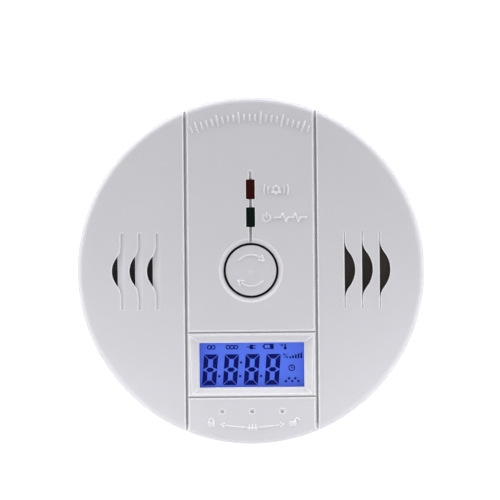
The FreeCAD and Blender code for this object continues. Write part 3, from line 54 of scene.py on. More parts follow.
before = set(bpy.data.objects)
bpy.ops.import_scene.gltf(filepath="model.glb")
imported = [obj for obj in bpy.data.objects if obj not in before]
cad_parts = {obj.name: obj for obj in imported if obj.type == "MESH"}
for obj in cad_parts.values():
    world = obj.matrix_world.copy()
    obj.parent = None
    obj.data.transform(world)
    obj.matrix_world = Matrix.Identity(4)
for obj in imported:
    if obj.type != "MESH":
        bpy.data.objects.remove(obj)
CAD_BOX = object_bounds()

MM = 0.001
WHITE = (1.0, 1.0, 1.0, 1.0)

# How far in front of the face a shape is stood up, before it is laid on its part.
IN_FRONT = 0.01
# The face's rim lies this far behind its crown.
RIM_BEHIND_CROWN = 0.002

# Where a softened normal starts to count as an edge, and where it fully does.
EDGE_FROM, EDGE_TO = 0.004, 0.07
# How much lighter the case is painted along its edges: a painted highlight.
PAINTED_EDGE_HIGHLIGHT = 1.75
EDGE_ANGLE = math.radians(50.0)
SMOOTH_ANGLE = math.radians(32.0)

# The bands of the face that hold its grooves, and how deep below the dome they get painted shade.
UPRIGHT_HALF, LEVEL_HALF = 0.00040, 0.00028
CHANNEL_HALF, CHANNEL_LOW, CHANNEL_HIGH = 0.0005, 0.0078, 0.029
FACE_REACH = 0.0478
GAP_INSIDE, GAP_OUTSIDE = 0.0072, 0.0079
GROOVE_TOP, GAP_TOP, DARK_FROM = 0.00025, 0.0003, 0.0006
GROOVE_PAINTED_SHADE, PAINTED_SHADE_TONE = 0.26, 0.06

# Places and radii of the marks, in millimetres from the middle of the face.
ALARM_SIGN = (7.4, 23.1)
OPERATE_SIGN = (4.6, 15.1)
LOCKED_SIGN, OPEN_SIGN = (-11.8, -43.4), (11.6, -43.4)
TURN_RADIUS, TURN_ARC_RADIUS = 45.0, 45.2
BUTTON_ARROW_RADIUS = 4.5


# ---------------------------------------------------------------- settings


def length(name, description, default):
    return FloatProperty(name=name, description=description, default=default, unit="LENGTH",
                         subtype="DISTANCE", precision=6)


def colour(name, description, default):
    return FloatVectorProperty(name=name, description=description, default=default, size=3,
                               subtype="COLOR", min=0.0, max=1.0)


def share(name, description, default):
    return FloatProperty(name=name, description=description, default=default, min=0.0, max=1.0,
                         subtype="FACTOR")


class DetectorFinish(bpy.types.PropertyGroup):
    """Colours and surface qualities of the case and its inner parts."""

    case: colour("Case", "Colour of the moulded case", (0.575, 0.568, 0.604))
    bracket: colour("Bracket", "Colour of the wall bracket", (0.55, 0.55, 0.57))
    case_roughness: share("Case Roughness", "How matt the case is", 0.46)
    edge_round: length("Edge Round", "Radius that moulded edges are seen rounded to", 0.00028)
    grain: length("Grain", "Depth of the case's fine moulded grain", 0.000012)
    red_lamp: colour("Red Lamp", "Colour of the alarm lamp's lens", (0.030, 0.0016, 0.0018))
    green_lamp: colour("Green Lamp", "Colour of the power lamp's lens", (0.0012, 0.0065, 0.0042))
    sleeve: colour("Cell Sleeve", "Colour of the cells' sleeve", (0.045, 0.05, 0.06))
    sleeve_band: colour("Cell Band", "Colour of the band on the sleeve", (0.30, 0.42, 0.34))
    board: colour("Board", "Colour of the board's solder mask", (0.010, 0.085, 0.028))


class DetectorMarks(bpy.types.PropertyGroup):
    """Sizes of the raised marks, and where the face's dome and grooves lie."""

    height: length("Height", "How far a mark stands off the face", 0.00016)
    sink: length("Sink", "How far a mark reaches into the face", 0.0001)
    edge: length("Edge", "Width of the rounding on a mark's edges", 0.00007)
    stroke: length("Stroke", "Width of a mark's lines", 0.00046)
    dome_radius: length("Dome Radius", "Radius of the gently domed face", 1.28045)
    groove_at: length("Groove At", "Middle of the face to an upright groove", 0.01875)
    upper_groove: length("Upper Groove", "Drop to the groove above the display", 0.0177)
    lower_groove: length("Lower Groove", "Drop to the groove below the display", 0.0362)
    arc_radius: length("Arc Radius", "Radius of the arc of ticks at the top", 0.0439)
    arc_ticks: IntProperty(name="Ticks", description="Ticks in that arc", default=23, min=3,
                           subtype="UNSIGNED")
    arc_span: FloatProperty(name="Arc Span", description="Angle that the arc takes up",
                            default=math.radians(45.0), subtype="ANGLE", unit="ROTATION")


class DetectorDisplay(bpy.types.PropertyGroup):
    """Layout and colours of the lit display."""

    digit_height: length("Digit Height", "Height of a digit", 0.0089)
    digit_width: length("Digit Width", "Width of a digit", 0.0041)
    digit_pitch: length("Digit Pitch", "Distance between digits", 0.00602)
    segment: length("Segment", "Width of a digit's segments", 0.00136)
    slant: share("Slant", "Lean of the digits, as their shift over their height", 0.075)
    film: length("Film", "How far the ink stands off the glass", 0.000035)
    film_sink: length("Film Sink", "How far the ink reaches into the glass", 0.000005)
    lit: colour("Lit", "Colour of the lit background", (0.105, 0.200, 0.955))
    lit_edge: colour("Lit Edge", "Colour of the lit background at its edges",
                     (0.020, 0.028, 0.36))
    ink: colour("Ink", "Colour of a dark segment", (0.0022, 0.0045, 0.105))
    glow: FloatProperty(name="Glow", description="Strength of the backlight", default=0.86,
                        min=0.0, subtype="UNSIGNED")


class DetectorStage(bpy.types.PropertyGroup):
    """Camera, floor and studio light."""

    lens: FloatProperty(name="Lens", description="Focal length in millimetres", default=100.0,
                        unit="CAMERA")
    distance: length("Distance", "Camera to the rim of the face", 0.3997)
    rise: length("Rise", "Height of the camera above the detector's middle", 0.00586)
    sideways: length("Sideways", "Camera to the left of the detector's middle", 0.00024)
    roll: FloatProperty(name="Roll", description="Roll of the camera",
                        default=math.radians(-0.52), subtype="ANGLE", unit="ROTATION")
    floor_drop: length("Floor Drop", "Height of the detector above the floor", 0.36)
    floor_size: length("Floor Size", "Side of the floor", 2.0)
    front_light: FloatProperty(name="Front Light", description="World light from ahead",
                               default=0.36, min=0.0, subtype="UNSIGNED")
    side_light: FloatProperty(name="Side Light", description="World light level with the face",
                              default=4.85, min=0.0, subtype="UNSIGNED")
    back_light: FloatProperty(name="Back Light", description="World light from behind",
                              default=1.16, min=0.0, subtype="UNSIGNED")
    rear_light: FloatProperty(name="Rear Light", description="World light on the back",
                              default=0.55, min=0.0, subtype="UNSIGNED")
    upper_share: FloatProperty(name="Upper Share",
                               description="How much brighter the world is above than level",
                               default=0.36, min=0.0, subtype="FACTOR")
    lower_light: FloatProperty(name="Lower Light",
                               description="Power of each of the two lower softboxes in W",
                               default=0.098, min=0.0, unit="POWER")
    light_side: length("Light Side", "Side of a softbox", 0.06)
    light_out: length("Light Out", "Wall to a softbox", 0.1175)
    light_apart: length("Light Apart", "Softbox to the detector's middle, sideways", 0.10)
    light_below: length("Light Below", "Softbox to the detector's middle, downwards", 0.10)


# ---------------------------------------------------------------- shader sums


class Socket:
    """A shader value that Python's own operators can do sums with."""

    def __init__(self, nodes, link):
        self.nodes = nodes
        self.link = link

    def _sum(self, operation, first, second=0.0, clamp=False):
        return self.nodes.node("ShaderNodeMath", {"operation": operation, "use_clamp": clamp},
                               {0: first, 1: second})

    def __add__(self, other):
        return self._sum("ADD", self, other)

    def __sub__(self, other):
        return self._sum("SUBTRACT", self, other)

    def __rsub__(self, other):
        return self._sum("SUBTRACT", other, self)

    def __mul__(self, other):
        return self._sum("MULTIPLY", self, other)

    def __truediv__(self, other):
        return self._sum("DIVIDE", self, other)

    def __pow__(self, other):
        return self._sum("POWER", self, other)

    def __gt__(self, other):
        return self._sum("GREATER_THAN", self, other)

    def __lt__(self, other):
        return self._sum("LESS_THAN", self, other)

    def __rtruediv__(self, other):
        return self._sum("DIVIDE", other, self)

    __radd__ = __add__
    __rmul__ = __mul__

    def size(self):
        return self._sum("ABSOLUTE", self)

    def root(self):
        return self._sum("SQRT", self)

    def cycle(self, step):
        return self._sum("PINGPONG", self, step)

    def clamped(self):
        return self._sum("ADD", self, 0.0, clamp=True)


class Nodes:
    """A node tree that is filled in node by node."""

    def __init__(self, tree):
        self.tree = tree
        self.tree.nodes.clear()

    def node(self, kind, settings=None, inputs=None, output=0):
        made = self.tree.nodes.new(kind)
        for name, value in (settings or {}).items():
            if name == "stops":
                made.color_ramp.interpolation = "EASE"
                stops = made.color_ramp.elements
                for index, (position, tone) in enumerate(value):
                    stop = stops[index] if index < len(stops) else stops.new(position)
                    stop.position = position
                    stop.color = tone
            else:
                setattr(made, name, value)
        for key, value in (inputs or {}).items():
            if isinstance(value, Socket):
                self.tree.links.new(value.link, made.inputs[key])
            else:
                made.inputs[key].default_value = value
        return Socket(self, made.outputs[output]) if made.outputs else None

    def axes(self, place):
        """The three coordinates of a place."""
        return [self.node("ShaderNodeSeparateXYZ", inputs={0: place}, output=axis)
                for axis in range(3)]


class Finish(Nodes):
    """One procedural material."""

    def __init__(self, name):
        self.material = bpy.data.materials.new(name)
        self.material.use_nodes = True
        super().__init__(self.material.node_tree)
        self.place = self.node("ShaderNodeTexCoord", output="Object")
        self.x, self.y, self.z = self.axes(self.place)

    def noise(self, scale, detail=2.0, stretch=(1.0, 1.0, 1.0)):
        where = self.node("ShaderNodeMapping", inputs={"Vector": self.place, "Scale": stretch})
        return self.node("ShaderNodeTexNoise", inputs={
            "Vector": where, "Scale": scale, "Detail": detail})

    def mix(self, amount, low, high):
        return self.node("ShaderNodeMix", {"data_type": "RGBA"},
                         {0: amount, 6: opaque(low), 7: opaque(high)}, output=2)

    def rounded(self, radius):
        return self.node("ShaderNodeBevel", {"samples": 6}, {"Radius": radius})

    def step(self, value, low, high):
        """0 below low, 1 above high and a smooth rise between them."""
        return self.node("ShaderNodeMapRange", {"interpolation_type": "SMOOTHSTEP"}, {
            "Value": value, "From Min": low, "From Max": high})

    def edges(self, softened):
        """1 along an edge and 0 away from it, out of how far its normal has been softened."""
        straight = self.node("ShaderNodeNewGeometry", output="Normal")
        alike = self.node("ShaderNodeVectorMath", {"operation": "DOT_PRODUCT"},
                          {0: softened, 1: straight}, output="Value")
        return self.step(1.0 - alike, EDGE_FROM, EDGE_TO)

    def bump(self, height, distance, normal=None, strength=1.0):
        inputs = {"Height": height, "Distance": distance, "Strength": strength}
        if normal is not None:
            inputs["Normal"] = normal
        return self.node("ShaderNodeBump", inputs=inputs)

    def surface(self, **inputs):
        """Ends the material in a Principled shader; names are its sockets, _ for a space."""
        values = {name.replace("_", " "): value for name, value in inputs.items()}
        for name in ("Base Color", "Emission Color"):
            if name in values:
                values[name] = opaque(values[name])
        shader = self.node("ShaderNodeBsdfPrincipled", inputs=values)
        self.node("ShaderNodeOutputMaterial", inputs={"Surface": shader})
        return self.material


def opaque(tone):
    """A colour with its alpha, or a socket as it is."""
    return tone if isinstance(tone, Socket) or len(tone) == 4 else (*tone, 1.0)


def scaled(tone, factor):
    """A colour made lighter or darker."""
    return tuple(min(1.0, channel * factor) for channel in tone)


# ---------------------------------------------------------------- finishes


def groove_shade(paint, marks):
    """Painted shade from 0 on the face to 1, deep in the face's fine grooves and the button's gap.
    """
    radius = marks.dome_radius
    reach = paint.x * paint.x + paint.z * paint.z
    level = (radius ** 2 - reach).root() - radius - CAD_BOX[0].y
    depth = paint.y + level
    side = paint.x.size()
    upright = (side - marks.groove_at).size() < UPRIGHT_HALF
    lying = (((paint.z + marks.upper_groove).size() < LEVEL_HALF)
             + ((paint.z + marks.lower_groove).size() < LEVEL_HALF)) * (side < marks.groove_at)
    channel = (side < CHANNEL_HALF) * (paint.z > CHANNEL_LOW) * (paint.z < CHANNEL_HIGH)
    zone = (upright + lying + channel).clamped() * (reach < FACE_REACH ** 2)
    gap_painted_shadow = (reach > GAP_INSIDE ** 2) * (reach < GAP_OUTSIDE ** 2)
    return (paint.step(depth, GROOVE_TOP, DARK_FROM) * zone * GROOVE_PAINTED_SHADE
            + paint.step(depth, GAP_TOP, DARK_FROM) * gap_painted_shadow).clamped()


def moulded_finish(name, tone, roughness, grain, edge, marks=None):
    """Injection-moulded plastic: fine grain, faint flow marks, softly rounded edges, painted
    highlights.
    """
    paint = Finish(name)
    cloud = paint.noise(45.0, 3.0)
    grains = paint.noise(5200.0, 2.0)
    flow = paint.noise(160.0, 2.0, stretch=(1.0, 1.0, 0.25))
    base = paint.mix(cloud * 0.6 + flow * 0.4, scaled(tone, 0.975), scaled(tone, 1.025))
    softened = paint.rounded(edge * 0.5)
    # Painted highlight: the colour is made lighter along the edges.
    base = paint.mix(paint.edges(paint.rounded(edge * 1.5)), base, scaled(tone, PAINTED_EDGE_HIGHLIGHT))
    if marks:
        # Painted shade: darker deep in the face's grooves and channel, and a painted shadow in the
        # button's gap.
        base = paint.mix(groove_shade(paint, marks), base, scaled(tone, PAINTED_SHADE_TONE))
    relief = paint.bump(grains, grain, softened)
    return paint.surface(Base_Color=base, Roughness=roughness - 0.05 + 0.10 * cloud,
                         Normal=relief, Specular_IOR_Level=0.42)


def plain_moulding(name, tone, roughness=0.55):
    """The plastic of the small inner parts."""
    return moulded_finish(name, tone, roughness, 0.000015, 0.00012)


def metal_finish(name, tone, roughness=0.28, scratch=(1.0, 1.0, 1.0), scale=900.0):
    """Drawn or plated metal with fine lines along its stretch."""
    paint = Finish(name)
    lines = paint.noise(scale, 3.0, stretch=scratch)
    cloud = paint.noise(180.0, 2.0)
    base = paint.mix(cloud, scaled(tone, 0.86), tone)
    return paint.surface(Base_Color=base, Metallic=1.0,
                         Roughness=roughness - 0.06 + 0.14 * lines,
                         Normal=paint.bump(lines, 0.000006, paint.rounded(0.0001)))


def lens_finish(name, tone):
    """A deep-coloured lamp lens with a fine ribbed diffuser under its polished skin."""
    paint = Finish(name)
    ribs = (paint.z * 5200.0).cycle(1.0)
    base = paint.mix(ribs * 0.5 + paint.noise(900.0) * 0.3, scaled(tone, 0.72), scaled(tone, 1.3))
    return paint.surface(Base_Color=base, Roughness=0.3, Normal=paint.rounded(0.0002),
                         Specular_IOR_Level=0.12)


def display_finish(name, display):
    """Blue light through the rear glass: brighter in the middle, deeper at the edges."""
    low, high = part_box("lcd_window")
    middle = (low + high) / 2
    paint = Finish(name)
    across = ((paint.x - middle.x - 0.0006) / ((high.x - low.x) / 2)).size()
    up = ((paint.z - middle.z - 0.0010) / ((high.z - low.z) / 2)).size()
    edge = ((across ** 6.0) * 0.80 + (up ** 4.0) * 0.65).clamped()
    cloud = paint.noise(330.0, 3.0)
    glow = paint.mix((edge + 0.26 * cloud - 0.08).clamped(), display.lit, display.lit_edge)
    return paint.surface(Base_Color=(0.01, 0.015, 0.05), Roughness=0.35, Emission_Color=glow,
                         Emission_Strength=display.glow, Specular_IOR_Level=0.02)


def ink_finish(name, display):
    """A segment that holds back nearly all of the display's light."""
    paint = Finish(name)
    cloud = paint.noise(420.0, 3.0)
    glow = paint.mix(cloud, scaled(display.ink, 0.8), scaled(display.ink, 1.3))
    return paint.surface(Base_Color=(0.002, 0.002, 0.01), Roughness=0.5, Emission_Color=glow,
                         Emission_Strength=1.0, Specular_IOR_Level=0.02)


def clear_finish(name):
    """Clear acrylic with a faint haze."""
    paint = Finish(name)
    haze = paint.noise(60.0, 3.0)
    return paint.surface(Base_Color=(1.0, 1.0, 1.0), Roughness=0.01 + 0.03 * haze, IOR=1.12,
                         Transmission_Weight=1.0, Specular_IOR_Level=0.02)


def board_finish(name, tone):
    """Solder mask over tracks, with tinned pads on a grid."""
    paint = Finish(name)
    ways = []
    for scale, stretch in ((260.0, (1.0, 1.0, 0.18)), (210.0, (0.18, 1.0, 1.0))):
        ways.append((paint.noise(scale, 0.0, stretch) * 14.0).cycle(0.5))
    track = ((ways[0] > 0.30) * (ways[1] > 0.26)).clamped()
    pitch, pad_radius = 0.00254, 0.0004
    row = (paint.x + 1.0).cycle(pitch)
    column = (paint.z + 1.0).cycle(pitch)
    pad = ((row * row + column * column).root() < pad_radius) * (
        paint.noise(90.0, 1.0) > 0.56)
    mask = paint.mix(track * 0.55, scaled(tone, 1.7), tone)
    base = paint.mix(pad, mask, (0.62, 0.60, 0.54))
    return paint.surface(Base_Color=base, Metallic=pad, Roughness=0.34 - 0.06 * track,
                         Normal=paint.bump(track * -1.0 + pad, 0.00003), Coat_Weight=0.3)


def cloth_finish(name, tone):
    """A fine plain weave."""
    paint = Finish(name)
    warp = (paint.x * 2400.0).cycle(1.0)
    weft = (paint.z * 2400.0).cycle(1.0)
    fuzz = paint.noise(2500.0, 3.0)
    base = paint.mix(warp * weft + 0.3 * fuzz, scaled(tone, 0.5), scaled(tone, 1.6))
    return paint.surface(Base_Color=base, Roughness=0.92, Sheen_Weight=0.3,
                         Normal=paint.bump(warp + weft + fuzz, 0.00008))


def winding_finish(name, tone):
    """Enamelled wire laid in close turns."""
    paint = Finish(name)
    turns = (paint.y * 5200.0).cycle(1.0)
    base = paint.mix(turns, scaled(tone, 0.45), tone)
    return paint.surface(Base_Color=base, Metallic=0.75, Roughness=0.30,
                         Normal=paint.bump(turns, 0.00006), Coat_Weight=0.5)


def rubber_finish(name, tone):
    """The soft cover of a lead."""
    paint = Finish(name)
    dust = paint.noise(700.0, 4.0)
    base = paint.mix(dust, scaled(tone, 0.85), scaled(tone, 1.15))
    return paint.surface(Base_Color=base, Roughness=0.42 + 0.15 * dust,
                         Normal=paint.bump(dust, 0.00001))


def cell_finish(name, tone, band, button_side):
    """A cell's printed sleeve, with a pale band by its button and bright steel ends."""
    low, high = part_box("battery_cell_1")
    half = (high.x - low.x) / 2
    paint = Finish(name)
    along = paint.x * button_side
    fuzz = paint.noise(600.0, 3.0)
    banded = (along > half * 0.52) * (along < half * 0.82)
    printed = paint.mix(banded, tone, band)
    lined = ((along - half * 0.48).size() < 0.0003).clamped()
    printed = paint.mix(lined, printed, (0.6, 0.6, 0.58))
    steel = (along.size() > half - 0.0021).clamped()
    base = paint.mix(steel, printed, (0.62, 0.62, 0.60))
    return paint.surface(Base_Color=base, Metallic=steel, Roughness=0.24 + 0.10 * fuzz,
                         Coat_Weight=0.4 - 0.4 * steel, Normal=paint.rounded(0.0004))


def make_finishes(finish, display, marks):
    """Every finish by name."""
    case = finish.case
    return {
        "case": moulded_finish("case_plastic", case, finish.case_roughness, finish.grain,
                               finish.edge_round),
        "face": moulded_finish("face_plastic", case, finish.case_roughness, finish.grain,
                               finish.edge_round, marks),
        # Painted highlight: the raised marks are the case's own plastic painted lighter.
        "mark": moulded_finish("mark_plastic_painted_highlight", scaled(case, 1.14), finish.case_roughness,
                               finish.grain, finish.edge_round * 0.5),
        "bracket": moulded_finish("bracket_plastic", finish.bracket, 0.5, finish.grain,
                                  finish.edge_round),
        "button": moulded_finish("button_plastic", case, finish.case_roughness - 0.04,
                                 finish.grain * 0.7, finish.edge_round, marks),
        "black": plain_moulding("black_plastic", (0.012, 0.012, 0.013), 0.5),
        "dark": plain_moulding("dark_plastic", (0.03, 0.03, 0.034), 0.5),
        "sounder": plain_moulding("sounder_plastic", (0.036, 0.026, 0.021), 0.5),
        "sleeve": plain_moulding("capacitor_sleeve", (0.016, 0.02, 0.06), 0.3),
        "ceramic": plain_moulding("piezo_ceramic", (0.66, 0.63, 0.56), 0.5),
        "ferrite": plain_moulding("ferrite", (0.05, 0.05, 0.055), 0.75),
        "red_lens": lens_finish("red_lens", finish.red_lamp),
        "green_lens": lens_finish("green_lens", finish.green_lamp),
        "clear": clear_finish("clear_acrylic"),
        "lit": display_finish("lit_glass", display),
        "ink": ink_finish("segment_ink", display),
        "steel": metal_finish("drawn_steel", (0.58, 0.58, 0.56), 0.34, (0.15, 1.0, 1.0)),
        "nickel": metal_finish("nickel_plate", (0.70, 0.68, 0.63), 0.24, (1.0, 1.0, 0.15)),
        "tin": metal_finish("tinned_wire", (0.72, 0.72, 0.70), 0.3),
        "brass": metal_finish("rolled_brass", (0.68, 0.47, 0.19), 0.3, (0.1, 1.0, 1.0)),
        "zinc": metal_finish("zinc_screw", (0.60, 0.61, 0.62), 0.36),
        "board": board_finish("board_laminate", finish.board),
        "cloth": cloth_finish("filter_cloth", (0.02, 0.02, 0.022)),
        "copper": winding_finish("copper_winding", (0.62, 0.24, 0.10)),
        "red_rubber": rubber_finish("red_lead", (0.42, 0.012, 0.010)),
        "black_rubber": rubber_finish("black_lead", (0.012, 0.012, 0.012)),
        "cell_right": cell_finish("cell_sleeve_right", finish.sleeve, finish.sleeve_band, 1.0),
        "cell_left": cell_finish("cell_sleeve_left", finish.sleeve, finish.sleeve_band, -1.0),
    }


NODE_FINISHES = {
    "mounting_bracket": "bracket", "rear_cover": "case", "battery_door": "case",
    "front_cover": "face", "test_button": "button", "switch_body": "black",
    "switch_plunger": "dark", "lcd_window": "clear", "lcd_front_glass": "lit",
    "lcd_rear_glass": "lit", "lcd_backlight": "lit", "lcd_frame": "dark", "lcd_pins": "tin",
    "alarm_led": "red_lens", "operate_led": "green_lens", "led_legs": "tin",
    "sounder_case": "sounder", "sounder_disc": "brass", "sounder_ceramic": "ceramic",
    "sounder_retainer": "sounder", "sensor_can": "steel", "sensor_cap": "steel",
    "sensor_pins": "tin", "dust_filter": "cloth", "circuit_board": "board",
    "controller_chip": "black", "driver_chip": "black", "capacitors": "sleeve",
    "coil_core": "ferrite", "coil_winding": "copper", "crystal_can": "steel",
    "chip_resistors": "black", "battery_cell_1": "cell_right", "battery_cell_2": "cell_left",
    "battery_cell_3": "cell_right", "battery_springs": "nickel",
    "battery_link_right": "nickel", "battery_link_left": "nickel",
    "positive_terminal": "nickel", "negative_terminal": "nickel",
    "positive_lead": "red_rubber", "negative_lead": "black_rubber",
    "sounder_leads": "black_rubber", "case_screws": "zinc", "board_screws": "zinc",
}


def finish_named(name):
    """The material of a finish, by the name that make_finishes gave it."""
    return bpy.data.materials[bpy.context.scene["detector_finishes"][name]]


# ---------------------------------------------------------------- flat drawing


def deselect():
    bpy.ops.object.select_all(action="DESELECT")


def activate(piece):
    """Selects one piece alone, for the operators that follow."""
    deselect()
    piece.select_set(True)
    bpy.context.view_layer.objects.active = piece


def edit():
    bpy.ops.object.mode_set(mode="EDIT")


def leave():
    bpy.ops.object.mode_set(mode="OBJECT")


def bar(start, end, width):
    """A flat bar between two points."""
    start, end = Vector(start), Vector(end)
    run = end - start
    bpy.ops.mesh.primitive_plane_add(size=1.0, location=(*(start + end) / 2, 0.0),
                                     rotation=(0.0, 0.0, math.atan2(run.y, run.x)))
    made = bpy.context.object
    made.scale = (run.length, width, 1.0)
    return made


def settle(made):
    """Ends a drawn shape at the origin, unturned and unscaled."""
    activate(made)
    bpy.ops.object.transform_apply(location=True, rotation=True, scale=True)
    return made


def pull(piece, corner, move):
    """Slides the corner of a flat shape that is nearest to a place."""
    points = piece.data.vertices
    nearest = min(points, key=lambda point: (point.co.xy - Vector(corner)).length).index
    activate(piece)
    edit()
    bpy.ops.mesh.select_mode(type="VERT")
    bpy.ops.mesh.select_all(action="DESELECT")
    leave()
    piece.data.vertices[nearest].select = True
    edit()
    bpy.ops.transform.translate(value=(*move, 0.0))
    leave()


def disc(centre, radius, sides=28):
    """A flat disc."""
    bpy.ops.mesh.primitive_circle_add(vertices=sides, radius=radius, fill_type="NGON",
                                      location=(*centre, 0.0))
    return bpy.context.object


def ring(centre, radius, width, start=0.0, end=360.0, sides=72):
    """A flat ring, or the stretch of it between two angles in degrees."""
    bpy.ops.mesh.primitive_circle_add(vertices=sides, radius=radius + width / 2,
                                      fill_type="NOTHING", location=(*centre, 0.0))
    made = settle(bpy.context.object)
    edit()
    bpy.ops.mesh.select_all(action="SELECT")
    bpy.ops.mesh.extrude_edges_move()
    inner = (radius - width / 2) / (radius + width / 2)
    bpy.ops.transform.resize(value=(inner, inner, 1.0), center_override=(*centre, 0.0))
    bpy.ops.mesh.select_mode(type="FACE")
    bpy.ops.mesh.select_all(action="DESELECT")
    leave()
    if end - start < 360.0:
        for face in made.data.polygons:
            angle = math.degrees(math.atan2(face.center.y - centre[1],
                                            face.center.x - centre[0]))
            face.select = (angle - start) % 360.0 > end - start
        edit()
        bpy.ops.mesh.delete(type="FACE")
        leave()
    return made


def path(points, width):
    """Bars from point to point, with a disc at each bend."""
    made = [bar(a, b, width) for a, b in zip(points, points[1:])]
    return made + [disc(point, width / 2, 14) for point in points]


def arrow(centre, radius, width, start, end, head):
    """A curved arrow along a ring, whose head is at its end angle."""
    angle = math.radians(end)
    way = math.copysign(1.0, end - start)
    low, high = min(start, end), max(start, end)
    tip_at = Vector((math.cos(angle), math.sin(angle)))
    along = Vector((-tip_at.y, tip_at.x)) * way
    root = Vector(centre) + tip_at * radius
    tip = root + along * head
    return [
        ring(centre, radius, width, low, high, sides=144),
        *path([root + tip_at * head * 0.7 - along * 0.1, tip], width),
        *path([root - tip_at * head * 0.7 - along * 0.1, tip], width),
    ]


def joined(name, drawings):
    """Drawn shapes as one object."""
    deselect()
    for drawing in drawings:
        drawing.select_set(True)
    bpy.context.view_layer.objects.active = drawings[0]
    bpy.ops.object.join()
    made = bpy.context.object
    made.name = made.data.name = name
    return settle(made)


def modify(piece, kind, **settings):
    """Adds a modifier and applies it."""
    activate(piece)
    modifier = piece.modifiers.new(kind.title(), kind)
    for name, value in settings.items():
        setattr(modifier, name, value)
    if bpy.ops.object.modifier_apply(modifier=modifier.name) != {"FINISHED"}:
        raise RuntimeError(f"the {kind.lower()} of {piece.name} couldn't be applied")


def stand_up(piece):
    """Stands a lying piece up in front of the face, in metres."""
    piece.rotation_euler.x = math.pi / 2
    piece.scale = (MM, MM, MM)
    piece.location.y = CAD_BOX[0].y - IN_FRONT
    return settle(piece)


def lay_on(piece, node, height, sink, edge=0.0):
    """Lays a standing flat shape on a CAD part and gives it its thickness: height above the
    part's surface, sink below it, and edges rounded to edge."""
    modify(piece, "SHRINKWRAP", target=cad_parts[node], wrap_method="PROJECT",
           use_project_y=True, use_positive_direction=True, use_negative_direction=False)
    if any(point.co.y < CAD_BOX[0].y - height for point in piece.data.vertices):
        raise RuntimeError(f"{piece.name} doesn't lie wholly on {node}")
    modify(piece, "SOLIDIFY", thickness=height + sink, offset=(height - sink) / (height + sink))
    if edge:
        modify(piece, "BEVEL", width=edge, segments=2, limit_method="ANGLE",
               angle_limit=EDGE_ANGLE)
    edit()
    bpy.ops.mesh.select_all(action="SELECT")
    bpy.ops.mesh.remove_doubles(threshold=1e-7)
    bpy.ops.mesh.normals_make_consistent(inside=False)
    leave()


def hand_over(piece, finish, body):
    """Gives a finished piece its material and its body."""
    piece.data.materials.clear()
    piece.data.materials.append(finish_named(finish))
    activate(piece)
    bpy.ops.object.shade_smooth_by_angle(angle=SMOOTH_ANGLE)
    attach(piece, body)


# ---------------------------------------------------------------- raised marks


def emboss(name, drawings, marks, node, body):
    """Flat shapes as marks that stand off a CAD part."""
    piece = stand_up(joined(name, drawings))
    lay_on(piece, node, marks.height, marks.sink, marks.edge)
    hand_over(piece, "mark", body)


def tick_arc(marks):
    """The arc of ticks at the top of the face: every fourth tick is a long one."""
    radius, stroke = marks.arc_radius / MM, marks.stroke / MM
    drawn = []
    for index in range(marks.arc_ticks):
        angle = math.pi / 2 + marks.arc_span * (0.5 - index / (marks.arc_ticks - 1))
        outward = Vector((math.cos(angle), math.sin(angle)))
        half = 1.75 if index % 4 == 1 else 0.95
        drawn.append(bar(outward * (radius - half), outward * (radius + half), stroke))
    return drawn


def bell(centre, marks):
    """A bell with sound waves on both sides."""
    x, y = centre
    stroke = marks.stroke / MM
    outline_points = [(x - 1.25, y - 0.75), (x - 0.85, y - 0.25), (x - 0.8, y + 0.5),
                      (x, y + 1.15), (x + 0.8, y + 0.5), (x + 0.85, y - 0.25),
                      (x + 1.25, y - 0.75), (x - 1.25, y - 0.75)]
    drawn = path(outline_points, stroke)
    drawn.append(disc((x, y - 1.15), 0.34))
    for reach in (2.4, 3.5):
        drawn.append(ring((x, y), reach, stroke * 0.9, -24.0, 24.0))
        drawn.append(ring((x, y), reach, stroke * 0.9, 156.0, 204.0))
    return drawn


def power_and_pulse(centre, marks):
    """A power sign followed by a steady pulse."""
    x, y = centre
    stroke = marks.stroke / MM
    drawn = [ring((x, y - 0.1), 1.05, stroke, 125.0, 415.0)]
    drawn += path([(x, y + 0.1), (x, y + 1.3)], stroke)
    pulse = [(2.3, 0.0), (4.0, 0.0), (4.6, 1.15), (5.5, -1.15), (6.1, 0.0), (7.6, 0.0),
             (8.2, 1.15), (9.1, -1.15), (9.7, 0.0), (11.4, 0.0)]
    return drawn + path([(x + px, y + py) for px, py in pulse], stroke)


def padlock(centre, marks, closed):
    """A padlock, shut, or open with its shackle turned aside."""
    x, y = centre
    stroke = marks.stroke / MM * 0.85
    drawn = [bar((x - 1.0, y - 0.55), (x + 1.0, y - 0.55), 1.35)]
    shift = 0.0 if closed else 1.25
    drawn.append(ring((x + shift, y + 0.35), 0.62, stroke, 0.0, 180.0))
    drawn += [bar((x + shift + side * 0.62, y), (x + shift + side * 0.62, y + 0.4), stroke)
              for side in (-1, 1) if closed or side == -1]
    return drawn


class DETECTOR_OT_face_marks(bpy.types.Operator):
    """Raise the generic marks on the face"""

    bl_idname = "detector.face_marks"
    bl_label = "Face Marks"

    def execute(self, context):
        marks = context.scene.detector_marks
        stroke = marks.stroke / MM
        drawn = tick_arc(marks)
        drawn += bell(ALARM_SIGN, marks)
        drawn += power_and_pulse(OPERATE_SIGN, marks)
        fine = stroke * 0.8
        lower = [
            *padlock(LOCKED_SIGN, marks, closed=True),
            *padlock(OPEN_SIGN, marks, closed=False),
            ring((0.0, 0.0), TURN_ARC_RADIUS, fine, 268.1, 271.9, 720),
            *arrow((0.0, 0.0), TURN_RADIUS, fine, 266.5, 259.5, 0.75),
            *arrow((0.0, 0.0), TURN_RADIUS, fine, 273.5, 280.5, 0.75),
        ]
        lower += [bar((x, -44.2), (x, -46.0), fine) for x in (-0.9, 0.0, 0.9)]
        emboss("face_marks", drawn + lower, marks, "front_cover", "housing")
        return {"FINISHED"}


